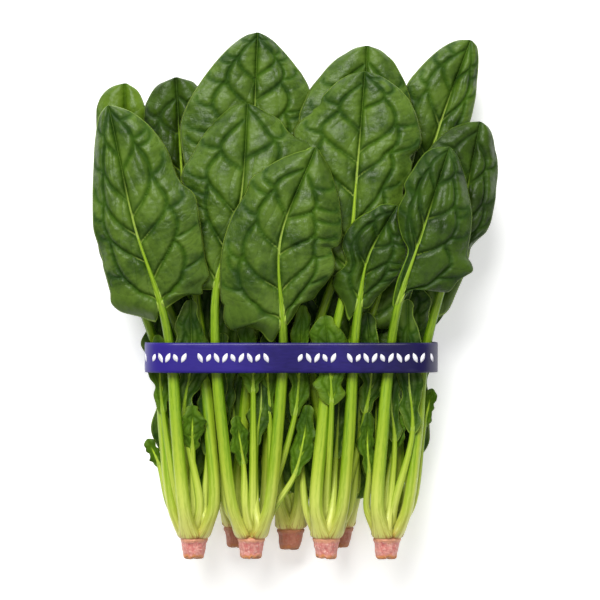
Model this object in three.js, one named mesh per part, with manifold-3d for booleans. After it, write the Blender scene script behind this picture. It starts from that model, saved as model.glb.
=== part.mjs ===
// Spinach bunch: seven whole plants with trimmed pink roots, lying flat and held by one wide printed band.
// Millimetres. The origin is the middle of the band's underside, on the surface that the bunch lies on.
// +X is to the right, +Y runs from the roots to the leaf tips, and +Z is up from that surface.
import * as THREE from "three";
import { mergeVertices } from "three/addons/utils/BufferGeometryUtils.js";
import Module from "manifold-3d";

const wasm = await Module();
wasm.setup();

// ---- Driving dimensions --------------------------------------------------------------------------------

const BAND = { width: 168, height: 58, deep: 17, wall: 1, corner: 20, cornerSteps: 6 };
const ROOT = { top: 8.2, foot: 6.3, length: 12, sides: 12 };
const CROWN = { collar: 8.4, bulge: 13, length: 24, sides: 10 };
const GAP = 0.4; // between a root and its crown, and between a blade and the rib under it

// Where each plant's root top is (x, y, z), and how far out from its axis its leaf stalks bulge.
const PLANTS = {
  a: { at: [-55.4, -103, 42], spread: 12.5 },
  b: { at: [-22.6, -103, 42], spread: 12.5 },
  c: { at: [20, -103, 42], spread: 12.5 },
  d: { at: [54.7, -103, 42], spread: 12.5 },
  e: { at: [-0.2, -100, 16], spread: 8.5 },
  f: { at: [-31, -99, 14.5], spread: 8.5 },
  g: { at: [28.2, -99, 14.5], spread: 8.5 },
};

// Every large leaf. plant is the one it grows on, and turn the side of it that its stalk grows on, in degrees
// from +X towards +Z. slot is the stalk's place in the band (x, z). base, mid and tip are points on the midrib.
// left and right are the blade's halves: [half-width, where it is widest, the share of that kept at the base].
// roll tips the blade about its midrib, cup bends its margins away from the side it faces, and lobe pushes its
// ears back. faces is -1 for a blade whose upper side looks down at the table, as the lowest ones do.
const LEAVES = {
  front_left: {
    plant: "a", turn: 115, slot: [-68, 50],
    base: [-73, 29, 61], mid: [-88, 75, 68.5], tip: [-103, 142.5, 60],
    left: [27, 0.2, 0.9], right: [36, 0.5, 0.8], roll: -8, cup: 4, lobe: 6,
  },
  front_middle: {
    plant: "b", turn: 35, slot: [-4.5, 50.5],
    base: [-4.5, 19, 61], mid: [-6, 66, 70], tip: [14, 118.5, 64],
    left: [35, 0.25, 0.95], right: [36, 0.55, 0.85], roll: 0, cup: 4, lobe: 4,
  },
  front_right: {
    plant: "d", turn: 118, slot: [56, 50.5],
    base: [60.5, 30, 62.5], mid: [74, 71, 70], tip: [89.5, 119, 61],
    left: [28, 0.2, 0.95], right: [31, 0.25, 0.95], roll: 8, cup: 4, lobe: 8,
  },
  second_left: {
    plant: "b", turn: 150, slot: [-42.6, 50.5],
    base: [-42, 40, 57.5], mid: [-29, 86, 61.5], tip: [-24.5, 144, 54],
    left: [34, 0.55, 0.7], right: [34, 0.55, 0.7], roll: -4, cup: 4, lobe: 5,
  },
  second_right: {
    plant: "c", turn: 118, slot: [22, 49.5],
    base: [32, 48, 55], mid: [37.5, 108, 57], tip: [42, 162.5, 50.5],
    left: [39, 0.58, 0.5], right: [38.5, 0.55, 0.3], roll: -3, cup: 4, lobe: 5,
  },
  folded_right: {
    plant: "c", turn: 42, slot: [35.5, 50.5],
    base: [38.5, 30, 57.5], mid: [44, 58, 61.5], tip: [60, 86, 61.5],
    left: [16, 0.4, 0.9], right: [14, 0.4, 0.7], roll: 0, cup: 1, lobe: 6,
  },
  tall_left: {
    plant: "f", turn: 78, slot: [-26, 29],
    base: [-23, 72, 44.5], mid: [-21, 130, 46.5], tip: [-19, 185.3, 42],
    left: [42, 0.42, 0.6], right: [36, 0.45, 0.6], roll: 5, cup: 4, lobe: 5,
  },
  tall_right: {
    plant: "c", turn: -70, slot: [12, 38.5],
    base: [36, 80, 42.5], mid: [42, 126, 46.5], tip: [44, 176.7, 39],
    left: [38.5, 0.45, 0.6], right: [30, 0.45, 0.6], roll: 4, cup: 2.5, lobe: 5,
  },
  back_far_left: {
    plant: "a", turn: -120, slot: [-60, 36],
    base: [-92, 78, 31.5], mid: [-95, 116, 31], tip: [-95, 155, 28],
    left: [18, 0.4, 0.6], right: [19, 0.4, 0.6], roll: -6, cup: 1.5, lobe: 4,
  },
  back_left: {
    plant: "a", turn: 25, slot: [-50, 39],
    base: [-60, 80, 38], mid: [-63, 118, 38.5], tip: [-64.5, 158.7, 35],
    left: [24, 0.45, 0.6], right: [26, 0.45, 0.6], roll: -3, cup: 1.5, lobe: 4,
  },
  back_right: {
    plant: "d", turn: -60, slot: [60, 38],
    base: [72, 86, 33], mid: [85, 132, 33], tip: [102.5, 179.5, 30],
    left: [29, 0.5, 0.6], right: [17, 0.5, 0.6], roll: 4, cup: 3, lobe: 4,
  },
  outer_right: {
    plant: "d", turn: 20, slot: [76, 37],
    base: [86.5, 42, 45], mid: [98, 84, 50], tip: [106.5, 132.7, 45],
    left: [20, 0.5, 0.4], right: [20.5, 0.5, 0.3], roll: 12, cup: 3, lobe: 4,
  },
  outer_left: {
    plant: "a", turn: 178, slot: [-76, 33],
    base: [-85.5, 30, 46], mid: [-97, 68, 52], tip: [-104, 112, 47],
    left: [15, 0.3, 0.8], right: [20, 0.4, 0.8], roll: -16, cup: 3, lobe: 6,
  },
  low_left: {
    plant: "a", turn: -160, slot: [-70, 22],
    base: [-83, 30, 25], mid: [-97, 76, 23.5], tip: [-103, 126, 20],
    left: [14, 0.4, 0.6], right: [22, 0.4, 0.6], roll: -4, cup: 1.5, lobe: 6,
  },
  core_left: {
    plant: "b", turn: -130, slot: [-23, 39],
    base: [-10, 76, 37], mid: [-8, 108, 38], tip: [-4, 142, 36],
    left: [22, 0.4, 0.7], right: [20, 0.4, 0.7], roll: 0, cup: 2, lobe: 5,
  },
  inner_left: {
    plant: "b", turn: -50, slot: [-12, 39],
    base: [-10, 24, 45], mid: [-11, 48, 50], tip: [-10, 74, 53],
    left: [15, 0.4, 0.8], right: [15, 0.4, 0.8], roll: 0, cup: 2, lobe: 5,
  },
  inner_right: {
    plant: "c", turn: -20, slot: [30, 38],
    base: [45, 22, 43], mid: [55, 50, 47], tip: [64, 80, 47],
    left: [19, 0.4, 0.8], right: [18, 0.4, 0.8], roll: 2, cup: 2, lobe: 5,
  },
  low_right: {
    plant: "d", turn: -20, slot: [74, 23],
    base: [84, 28, 25], mid: [94, 72, 24], tip: [100, 116, 20],
    left: [18, 0.4, 0.6], right: [11, 0.4, 0.6], roll: 2, cup: 2, lobe: 6,
  },
  under_left: {
    plant: "f", turn: -150, slot: [-52, 8.5],
    base: [-57, 22, 7], mid: [-67, 72, 5], tip: [-76, 126, 7],
    left: [32, 0.45, 0.8], right: [32, 0.45, 0.8], roll: 0, cup: -2, lobe: 7, faces: -1,
  },
  under_middle: {
    plant: "e", turn: -110, slot: [-5, 7],
    base: [-1, 22, 6], mid: [2, 75, 5], tip: [8, 136, 7],
    left: [33, 0.45, 0.8], right: [33, 0.45, 0.8], roll: 0, cup: -2, lobe: 7, faces: -1,
  },
  under_right: {
    plant: "g", turn: -30, slot: [55, 8.5],
    base: [60, 22, 7], mid: [71, 71, 5], tip: [82, 124, 7],
    left: [32, 0.45, 0.8], right: [32, 0.45, 0.8], roll: 0, cup: -2, lobe: 7, faces: -1,
  },
  lower_left: {
    plant: "f", turn: -80, slot: [-30, 8],
    base: [-30, 42, 14], mid: [-34, 96, 14.5], tip: [-39, 150, 13],
    left: [33, 0.45, 0.7], right: [32, 0.45, 0.7], roll: 0, cup: -1, lobe: 6, faces: -1,
  },
  lower_right: {
    plant: "e", turn: -50, slot: [18, 8],
    base: [28, 42, 14], mid: [38, 96, 14.5], tip: [45, 154, 13],
    left: [33, 0.45, 0.7], right: [33, 0.45, 0.7], roll: 0, cup: -1, lobe: 6, faces: -1,
  },
  middle_left: {
    plant: "f", turn: 150, slot: [-45, 19],
    base: [-60, 50, 19.5], mid: [-77, 94, 18.5], tip: [-87, 138, 14],
    left: [26, 0.45, 0.7], right: [29, 0.45, 0.7], roll: -3, cup: 2, lobe: 6,
  },
  middle: {
    plant: "e", turn: 60, slot: [6, 18.5],
    base: [4, 56, 22.5], mid: [1, 104, 23], tip: [0, 150, 21],
    left: [34, 0.45, 0.7], right: [34, 0.45, 0.7], roll: 0, cup: 2, lobe: 6,
  },
  middle_right: {
    plant: "g", turn: 30, slot: [45, 18],
    base: [65, 50, 19.5], mid: [81, 98, 18.5], tip: [94, 146, 14],
    left: [29, 0.45, 0.7], right: [26, 0.45, 0.7], roll: 3, cup: 2, lobe: 6,
  },
  upper_left: {
    plant: "e", turn: 130, slot: [-10, 28],
    base: [-23, 52, 30.5], mid: [-37, 104, 31], tip: [-44, 154, 28],
    left: [31, 0.45, 0.7], right: [31, 0.45, 0.7], roll: -2, cup: 2, lobe: 6,
  },
  upper_right: {
    plant: "g", turn: 100, slot: [34, 28],
    base: [41, 52, 29], mid: [50, 104, 29], tip: [56, 156, 25],
    left: [31, 0.45, 0.7], right: [30, 0.45, 0.7], roll: 3, cup: 1.5, lobe: 6,
  },
};

// The young leaves between the stalks, whose blades begin below the band. half is a blade's half-width.
const YOUNG = {
  a1: {
    plant: "a", turn: 90, half: 5.4, roll: 6,
    base: [-56, -52, 47], mid: [-56, -40, 50], tip: [-55.5, -27, 51],
  },
  a2: {
    plant: "a", turn: 60, half: 7, roll: 4,
    base: [-61, -33, 44], mid: [-57, -4, 45.6], tip: [-57, 33, 49],
  },
  a3: {
    plant: "a", turn: 160, half: 4.5, roll: -10,
    base: [-73, -32, 41], mid: [-75, -8, 41.6], tip: [-76, 13, 43],
  },
  a4: {
    plant: "a", turn: -160, half: 3, roll: -10,
    base: [-75.5, -62, 34], mid: [-78.5, -55, 34], tip: [-82.5, -47, 33],
  },
  b1: {
    plant: "b", turn: 120, half: 4.3, roll: 25,
    base: [-27, -61, 47], mid: [-29, -47, 49], tip: [-31, -33, 49.5],
  },
  b2: {
    plant: "b", turn: 80, half: 5.5, roll: 0,
    base: [-21.5, -20, 48], mid: [-22, -3, 50], tip: [-26, 20, 52],
  },
  b3: {
    plant: "b", turn: 10, half: 4, roll: -6,
    base: [-12, -33, 44], mid: [-13.5, -7, 46], tip: [-14, 14, 46],
  },
  b4: {
    plant: "b", turn: 0, half: 5, roll: 10,
    base: [2, -34, 46], mid: [5, -5, 48.5], tip: [6.5, 30, 53],
  },
  c1: {
    plant: "c", turn: 165, half: 5.2, roll: -20,
    base: [2, -67, 44], mid: [7, -47, 45], tip: [10, -27, 46],
  },
  c2: {
    plant: "c", turn: 90, half: 8, roll: 0,
    base: [23, -26, 55.1], mid: [22, -4, 55.2], tip: [19.5, 24, 55.6],
  },
  c3: {
    plant: "c", turn: 10, half: 6, roll: 0,
    base: [42.5, -32, 42], mid: [46, -6, 45.4], tip: [43, 26, 47],
  },
  d4: {
    plant: "d", turn: 175, half: 3.8, roll: 15,
    base: [44.5, -66, 45], mid: [43.5, -50, 45.5], tip: [44, -31, 45.5],
  },
  d1: {
    plant: "d", turn: 55, half: 6, roll: -8,
    base: [69, -43, 47], mid: [67, -12, 48.5], tip: [66, 33, 51],
  },
  d2: {
    plant: "d", turn: 100, half: 3.8, roll: -20,
    base: [57.5, -58, 43], mid: [60, -43, 44], tip: [62, -29, 44],
  },
  d3: {
    plant: "d", turn: -10, half: 3, roll: 10,
    base: [76, -40, 36], mid: [78.5, -29, 35.5], tip: [81, -18, 34.5],
  },
};

// ---- Materials -----------------------------------------------------------------------------------------

const leafGreen = new THREE.MeshStandardMaterial({ color: 0x3c6a22, roughness: 0.45, metalness: 0 });
const youngGreen = new THREE.MeshStandardMaterial({ color: 0x4f8424, roughness: 0.5, metalness: 0 });
const stalkGreen = new THREE.MeshStandardMaterial({ color: 0xb4cc55, roughness: 0.4, metalness: 0 });
const rootPink = new THREE.MeshStandardMaterial({ color: 0xd98f7a, roughness: 0.65, metalness: 0 });
const bandPurple = new THREE.MeshStandardMaterial({ color: 0x34208a, roughness: 0.4, metalness: 0 });

// ---- Solids --------------------------------------------------------------------------------------------

// A closed three.js geometry as a manifold solid.
function solid(geometry) {
  const bare = geometry.index ? geometry.toNonIndexed() : geometry;
  const points = new THREE.BufferGeometry().setAttribute("position", bare.getAttribute("position"));
  const merged = mergeVertices(points, 1e-4);
  const vertProperties = merged.attributes.position.array;
  return new wasm.Manifold(
    new wasm.Mesh({ numProp: 3, vertProperties, triVerts: new Uint32Array(merged.index.array) }),
  );
}

// A manifold solid as a named three.js mesh.
function named(name, made, material) {
  const { vertProperties, triVerts } = made.getMesh();
  const geometry = new THREE.BufferGeometry()
    .setAttribute("position", new THREE.BufferAttribute(vertProperties, 3))
    .setIndex(new THREE.BufferAttribute(triVerts, 1));
  geometry.computeVertexNormals();
  const mesh = new THREE.Mesh(geometry, material);
  mesh.name = name;
  return mesh;
}

// A geometry from a list of points and a list of corner numbers.
const faceted = (points, index) =>
  new THREE.BufferGeometry()
    .setAttribute("position", new THREE.Float32BufferAttribute(points.flatMap((p) => p.toArray()), 3))
    .setIndex(index);

// A closed skin over rings of equally many points, each ring anticlockwise as seen from the next one.
function loft(rings) {
  const sides = rings[0].length;
  const last = (rings.length - 1) * sides;
  const index = [];
  for (let r = 0; r < last; r += sides)
    for (let i = 0; i < sides; i++) {
      const [a, b] = [r + i, r + ((i + 1) % sides)];
      index.push(a, b, b + sides, a, b + sides, a + sides);
    }
  for (let i = 1; i + 1 < sides; i++) index.push(0, i + 1, i, last, last + i, last + i + 1);
  return faceted(rings.flat(), index);
}

// ---- Where a leaf's stalk and midrib run ---------------------------------------------------------------

const { lerp, degToRad, smoothstep } = THREE.MathUtils;
const vector = (p) => new THREE.Vector3(...p);

const HEART = { radius: 3.5, up: 1 }; // where a large leaf starts in its crown
const BULGE_UP = 19; // how far above the root top the stalks stand out most
const SHANK_OUT = 1; // how far a stalk bows outwards halfway from there to the band
const YOUNG_HEART = { radius: 2, up: 4 };
const YOUNG_BULGE = { share: 0.4, up: 20 }; // a young stalk's share of its plant's spread

// The way out from a plant's axis to the side that a leaf grows on.
const outwards = (leaf) => new THREE.Vector3(Math.cos(degToRad(leaf.turn)), 0, Math.sin(degToRad(leaf.turn)));

// The line of a leaf's stalk and midrib, from the heart of its plant to its tip.
function leafLine(leaf) {
  const { at, spread } = PLANTS[leaf.plant];
  const away = outwards(leaf);
  const beside = (radius, up) => vector(at).addScaledVector(away, radius).add(new THREE.Vector3(0, up, 0));
  const midrib = [leaf.base, leaf.mid, leaf.tip].map(vector);
  if (!leaf.slot) {
    const heart = beside(YOUNG_HEART.radius, YOUNG_HEART.up);
    return new THREE.CatmullRomCurve3([heart, beside(spread * YOUNG_BULGE.share, YOUNG_BULGE.up), ...midrib]);
  }
  const heart = beside(HEART.radius, HEART.up);
  const slot = new THREE.Vector3(leaf.slot[0], 0, leaf.slot[1]);
  const bulge = beside(spread, BULGE_UP);
  const shank = bulge.clone().lerp(slot, 0.5).addScaledVector(away, SHANK_OUT);
  return new THREE.CatmullRomCurve3([heart, bulge, shank, slot, ...midrib]);
}

// The frame at t on a leaf's line: its place, the way along it, the side to its right, and out, where it faces.
function frameAt(leaf, t) {
  const roll = degToRad(leaf.roll);
  const out = new THREE.Vector3(Math.sin(roll), 0, Math.cos(roll)).multiplyScalar(leaf.faces ?? 1);
  const radial = outwards(leaf);
  if (radial.dot(out) < 0) radial.negate();
  out.lerp(radial, 1 - smoothstep(t, leaf.start * 0.3, leaf.start));
  const along = leaf.line.getTangent(t);
  const side = along.clone().cross(out).normalize();
  return { place: leaf.line.getPoint(t), along, side, out: side.clone().cross(along) };
}

// The point that is so far to the side of a frame, out from it and along it.
const offset = ({ place, side, out, along }, right, up, ahead) =>
  place.clone().addScaledVector(side, right).addScaledVector(out, up).addScaledVector(along, ahead);

// ---- Blades --------------------------------------------------------------------------------------------

const BLADE = {
  thick: 0.8,
  stub: 1.6, // half-width at its two ends
  rise: 0.035, // the share of its length in which the base spreads out
  ears: 0.14, // the share of its length that the ears take
  round: 0.6, // how round its tip is: 0.5 makes half an ellipse, 1 a parabola
  waves: 14, // radians of margin wave from base to tip
  small: 12, // half-width under which a blade is flatter
};
const ROWS = [0, 0.04, 0.12, 0.25, 0.42, 0.6, 0.76, 0.88, 0.96, 1];
const COLUMNS = [-1, -0.5, 0, 0.5, 1];
const YOUNG_ROWS = [0, 0.1, 0.3, 0.55, 0.8, 0.94, 1];
const YOUNG_COLUMNS = [-1, 0, 1];

// The half-width of one half of a blade at s, from 0 at its base to 1 at its tip.
function halfWidth([half, widest, kept], s) {
  const base = 1 - 0.95 * Math.exp(-s / BLADE.rise);
  if (s < widest) return half * base * (1 - (1 - kept) * ((widest - s) / widest) ** 2);
  return half * base * (1 - ((s - widest) / (1 - widest)) ** 2) ** BLADE.round;
}

// A point of a blade, v from -1 at its left margin to 1 at its right one, and up from its middle surface.
function bladePoint(leaf, s, v, up) {
  const half = Math.max(halfWidth(v < 0 ? leaf.left : leaf.right, s), BLADE.stub);
  const full = Math.min(1, half / BLADE.small);
  const edge = Math.abs(v);
  const phase = leaf.tip[0] + (v > 0 ? 1.3 : 0);
  const swell = leaf.swell * Math.sin(Math.PI * edge) * full;
  const droop = leaf.cup * edge ** 2 * full;
  const ripple = leaf.ripple * edge ** 3 * full * Math.sin(BLADE.waves * s + phase);
  const back = -leaf.lobe * Math.exp(-((s / BLADE.ears) ** 2)) * edge ** 1.5;
  return offset(frameAt(leaf, lerp(leaf.start, 1, s)), v * half, swell - droop + ripple + up, back);
}

// A blade as a thin closed sheet, its two faces split into triangles alike.
function blade(leaf, rows, columns) {
  const heights = [BLADE.thick / 2, -BLADE.thick / 2];
  const points = heights.flatMap((up) => rows.flatMap((s) => columns.map((v) => bladePoint(leaf, s, v, up))));
  const across = columns.length;
  const layer = rows.length * across;
  const index = [];
  for (let r = 0; r + 1 < rows.length; r++)
    for (let c = 0; c + 1 < across; c++) {
      const [a, b] = [r * across + c, r * across + c + 1];
      const [d, e] = [a + across, b + across];
      const halves = columns[c] < 0 ? [[a, b, d], [b, e, d]] : [[a, b, e], [a, e, d]];
      for (const [i, j, k] of halves) index.push(i, j, k, i + layer, k + layer, j + layer);
    }
  const last = rows.length - 1;
  const rim = [
    ...columns.map((_, c) => c),
    ...rows.slice(1).map((_, r) => (r + 1) * across + across - 1),
    ...columns.slice(1).map((_, c) => last * across + across - 2 - c),
    ...rows.slice(1, -1).map((_, r) => (last - 1 - r) * across),
  ];
  rim.forEach((a, i) => {
    const b = rim[(i + 1) % rim.length];
    index.push(a, a + layer, b, b, a + layer, b + layer);
  });
  return faceted(points, index);
}

// ---- Stalks --------------------------------------------------------------------------------------------

// Along a stalk: [share of the way to the blade, half-width, half-thickness].
const STALK = [
  [0, 3.4, 2.4],
  [0.12, 5, 3],
  [0.25, 5.6, 3.3],
  [0.37, 5.1, 3.3],
  [0.5, 4.5, 3],
  [0.63, 3.8, 2.8],
  [0.75, 3, 2.6],
  [0.88, 2.7, 2.3],
];
// Along the rib that a stalk becomes under its blade: [share of the blade, half-width, half-thickness].
const RIB = [
  [-0.06, 2.5, 2],
  [0.04, 2.3, 1.8],
  [0.12, 2, 1.6],
  [0.25, 1.6, 1.3],
  [0.42, 1, 0.9],
];
const STALK_SIDES = 6;
const DIP = [0.7, 1]; // the shares of the way to the blade between which a stalk goes under it
const YOUNG_GIRTH = 0.62; // a young stalk's share of these sizes

// A leaf's stalk: an oval tube on the leaf's line that dips under the blade.
function stalk(leaf) {
  const under = (thick) => BLADE.thick / 2 + GAP + thick * leaf.girth;
  const dip = (share, thick) => under(thick) * smoothstep(share, ...DIP);
  const stations = [
    ...STALK.map(([share, wide, thick]) => [share * leaf.start, wide, thick, dip(share, thick)]),
    ...RIB.map(([s, wide, thick]) => [lerp(leaf.start, 1, s), wide, thick, under(thick)]),
  ];
  const rings = stations.map(([t, wide, thick, down]) => {
    const frame = frameAt(leaf, t);
    return Array.from({ length: STALK_SIDES }, (_, i) => {
      const angle = (2 * Math.PI * (i + 0.5)) / STALK_SIDES;
      const [right, up] = [-wide * leaf.girth * Math.sin(angle), -thick * leaf.girth * Math.cos(angle)];
      return offset(frame, right, up - down, 0);
    });
  });
  return solid(loft(rings));
}

// ---- Roots, crowns and the band ------------------------------------------------------------------------

// A body of revolution about a plant's own axis. The profile's points are [radius, distance towards the leaves].
function turned(plant, profile, sides) {
  const outline = profile.map(([radius, along]) => new THREE.Vector2(radius, along));
  return solid(new THREE.LatheGeometry(outline, sides).translate(...PLANTS[plant].at));
}

// A trimmed taproot, its cut end a little domed.
function root(plant) {
  const { top, foot, length, sides } = ROOT;
  const waist = [(top + foot) / 2, -length / 2];
  const cut = [[0, -length], [foot * 0.7, -length - 0.3], [foot, -length + 1]];
  return turned(plant, [...cut, waist, [top, -GAP], [0, -GAP]], sides);
}

// The short stem that a plant's stalks grow from, as wide as their bulge.
function crown(plant) {
  const { collar, bulge, length, sides } = CROWN;
  const wide = (bulge * PLANTS[plant].spread) / PLANTS.a.spread;
  const shoulder = [[collar + 1, 4], [wide * 0.93, 10], [wide, 15], [wide * 0.4, length]];
  return turned(plant, [[0, 0], [collar, 0], ...shoulder, [0, length]], sides);
}

// The band's outline in its own plane, drawn inset from its outer face.
function bandOutline(shape, inset) {
  const { width, height, corner } = BAND;
  const [x, radius] = [width / 2 - corner, corner - inset];
  const [low, high] = [corner, height - corner];
  shape.absarc(x, low, radius, -Math.PI / 2, 0);
  shape.absarc(x, high, radius, 0, Math.PI / 2);
  shape.absarc(-x, high, radius, Math.PI / 2, Math.PI);
  shape.absarc(-x, low, radius, Math.PI, Math.PI * 1.5);
  return shape;
}

function band() {
  const outer = bandOutline(new THREE.Shape(), 0);
  outer.holes.push(bandOutline(new THREE.Path(), BAND.wall));
  const settings = { depth: BAND.deep, bevelEnabled: false, curveSegments: BAND.cornerSteps };
  const loop = new THREE.ExtrudeGeometry(outer, settings);
  return solid(loop.rotateX(Math.PI / 2).translate(0, BAND.deep / 2, 0));
}

// ---- The bunch -----------------------------------------------------------------------------------------

for (const leaf of Object.values(LEAVES)) {
  Object.assign(leaf, { start: 4 / 6, girth: 1, swell: 1.5, ripple: 1.2 });
  leaf.line = leafLine(leaf);
}
for (const leaf of Object.values(YOUNG)) {
  const side = [leaf.half, 0.4, 0.7];
  Object.assign(leaf, { left: side, right: side, cup: 1, lobe: 1.5 });
  Object.assign(leaf, { start: 2 / 4, girth: YOUNG_GIRTH, swell: 0.6, ripple: 0.6 });
  leaf.line = leafLine(leaf);
}

const bunch = new THREE.Group();
bunch.add(named("band", band(), bandPurple));
for (const [name, leaf] of Object.entries(LEAVES))
  bunch.add(named("blade_" + name, solid(blade(leaf, ROWS, COLUMNS)), leafGreen));
for (const [name, leaf] of Object.entries(YOUNG))
  bunch.add(named("young_" + name, solid(blade(leaf, YOUNG_ROWS, YOUNG_COLUMNS)), youngGreen));
for (const plant of Object.keys(PLANTS)) {
  const leaves = [...Object.values(LEAVES), ...Object.values(YOUNG)].filter((leaf) => leaf.plant === plant);
  bunch.add(named("stalks_" + plant, wasm.Manifold.union([crown(plant), ...leaves.map(stalk)]), stalkGreen));
  bunch.add(named("root_" + plant, root(plant), rootPink));
}

export default bunch;
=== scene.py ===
"""A bunch of spinach: seven whole plants with trimmed roots, lying flat and held by one wide printed band.

The tables of sizes are in millimetres, and everything that is made from them is in metres.
"""
from math import cos, exp, pi, radians, sin, sqrt
from random import Random

import bpy
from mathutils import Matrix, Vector


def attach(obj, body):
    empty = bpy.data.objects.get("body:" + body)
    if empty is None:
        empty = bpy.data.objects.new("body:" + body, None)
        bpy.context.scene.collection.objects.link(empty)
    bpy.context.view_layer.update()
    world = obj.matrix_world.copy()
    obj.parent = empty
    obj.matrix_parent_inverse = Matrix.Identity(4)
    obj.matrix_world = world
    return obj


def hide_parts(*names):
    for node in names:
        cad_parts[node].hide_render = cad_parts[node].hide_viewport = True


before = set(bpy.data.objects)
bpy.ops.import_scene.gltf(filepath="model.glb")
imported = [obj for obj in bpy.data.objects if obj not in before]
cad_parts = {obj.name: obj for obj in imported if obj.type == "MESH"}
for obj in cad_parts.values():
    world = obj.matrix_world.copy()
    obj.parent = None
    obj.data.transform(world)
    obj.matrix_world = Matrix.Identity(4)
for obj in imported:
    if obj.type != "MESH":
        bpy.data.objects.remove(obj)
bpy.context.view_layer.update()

MM = 0.001
UP = Vector((0, 0, 1))
SIDES = (-1, 1)  # the left and the right side of a blade

# ---- Camera -------------------------------------------------------------------------------------

# The camera looks straight down: the middle and the width of what it sees at a level, how far above that level
# it is, and the width of its sensor.
VIEW = {"centre": (5.1, 32.7), "wide": 339, "level": 57, "above": 1600, "sensor": 36}


def make_camera():
    lens = bpy.data.cameras.new("camera")
    lens.sensor_width = VIEW["sensor"]
    lens.lens = VIEW["sensor"] * VIEW["above"] / VIEW["wide"]
    lens.clip_start, lens.clip_end = 0.05, 20
    camera = bpy.data.objects.new("camera", lens)
    camera.location = Vector((*VIEW["centre"], VIEW["level"] + VIEW["above"])) * MM
    bpy.context.scene.collection.objects.link(camera)
    bpy.context.scene.camera = camera


make_camera()

# ---- Sizes --------------------------------------------------------------------------------------

# Each plant: where the top of its root is, and how far from its axis its stalks spread.
PLANTS = {
    "a": ((-55.4, -103, 42), 12.5),
    "b": ((-22.6, -103, 42), 12.5),
    "c": ((20, -103, 42), 12.5),
    "d": ((54.7, -103, 42), 12.5),
    "e": ((-0.2, -100, 16), 11),
    "f": ((-31, -99, 14.5), 10.3),
    "g": ((28.2, -99, 14.5), 10.3),
}

# Each large leaf: its plant, the way it grows from there in degrees, where its stalk passes the band as
# (x, z), the base, middle and tip of its blade, its roll in degrees, and how far its margins droop.
LEAVES = {
    "front_left": ("a", 115, (-68, 50), (-73, 29, 61), (-88, 75, 67.7), (-103, 142.5, 60), -8, 4),
    "front_middle": ("b", 35, (-4.5, 50.5), (-4.5, 19, 61), (-6, 66, 69), (14, 118.5, 64), 0, 4),
    "front_right": ("d", 118, (56, 50.5), (60.5, 30, 62.5), (74, 71, 69), (89.5, 119, 61), 8, 4),
    "second_left": ("b", 150, (-42.6, 50.5), (-42, 40, 57.5), (-29, 86, 61.5), (-24.5, 144, 54), -4, 4),
    "second_right": ("c", 118, (22, 49.5), (32, 48, 55), (37.5, 108, 57), (42, 162.5, 50.5), -3, 4),
    "folded_right": ("c", 42, (35.5, 50.5), (38.5, 30, 57.5), (44, 58, 61.5), (60, 86, 61.5), 0, 1),
    "tall_left": ("f", 78, (-26, 29), (-23, 72, 44.5), (-21, 130, 46.5), (-19, 185.3, 42), 5, 4),
    "tall_right": ("c", -70, (12, 38.5), (36, 80, 42.5), (42, 126, 46.5), (43.5, 178, 39), 4, 2.5),
    "back_far_left": ("a", -120, (-60, 36), (-92, 80, 31.5), (-95.3, 118, 31), (-95.6, 157.4, 28), -6, 1.5),
    "back_left": ("a", 25, (-50, 39), (-60, 81, 38), (-63.5, 119, 38.5), (-66, 160.3, 35), -3, 1.5),
    "back_right": ("d", -60, (60, 38), (72, 86, 33), (85, 132, 33), (103.2, 182, 30), 4, 3),
    "outer_right": ("d", 20, (76, 37), (86.5, 42, 45), (97.8, 84, 50), (107.8, 134.2, 45), 12, 3),
    "outer_left": ("a", 178, (-76, 33), (-85.5, 30, 46), (-97, 68, 52), (-104, 112, 47), -16, 3),
    "low_left": ("a", -160, (-70, 22), (-83, 30, 25), (-97, 76, 23.5), (-103, 126, 20), -4, 1.5),
    "core_left": ("b", -130, (-23, 39), (-10, 76, 37), (-8, 108, 38), (-4, 142, 36), 0, 2),
    "inner_left": ("b", -50, (-12, 39), (-10, 24, 45), (-11, 48, 50), (-10, 74, 53), 0, 2),
    "inner_right": ("c", -20, (30, 38), (45, 22, 43), (55, 50, 47), (64, 80, 47), 2, 2),
    "low_right": ("d", -20, (74, 23), (84, 28, 25), (94, 72, 24), (100, 116, 20), 2, 2),
    "under_left": ("f", -150, (-52, 8.5), (-57, 22, 7), (-67, 72, 5), (-76, 126, 7), 0, -2),
    "under_middle": ("e", -110, (-5, 7), (-1, 22, 6), (2, 75, 5), (8, 136, 7), 0, -2),
    "under_right": ("g", -30, (55, 8.5), (60, 22, 7), (71, 71, 5), (82, 124, 7), 0, -2),
    "lower_left": ("f", -80, (-30, 8), (-30, 42, 14), (-34, 96, 14.5), (-39, 150, 13), 0, -1),
    "lower_right": ("e", -50, (18, 8), (28, 42, 14), (38, 96, 14.5), (45, 154, 13), 0, -1),
    "middle_left": ("f", 150, (-45, 19), (-60, 50, 19.5), (-77, 94, 18.5), (-87, 138, 14), -3, 2),
    "middle": ("e", 60, (6, 18.5), (4, 56, 22.5), (1, 104, 23), (0, 150, 21), 0, 2),
    "middle_right": ("g", 30, (45, 18), (65, 50, 19.5), (81, 98, 18.5), (94, 146, 14), 3, 2),
    "upper_left": ("e", 130, (-10, 28), (-23, 52, 30.5), (-37, 104, 31), (-44, 154, 28), -2, 2),
    "upper_right": ("g", 100, (34, 28), (41, 52, 29), (50, 104, 29), (56, 156, 25), 3, 1.5),
}

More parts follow.
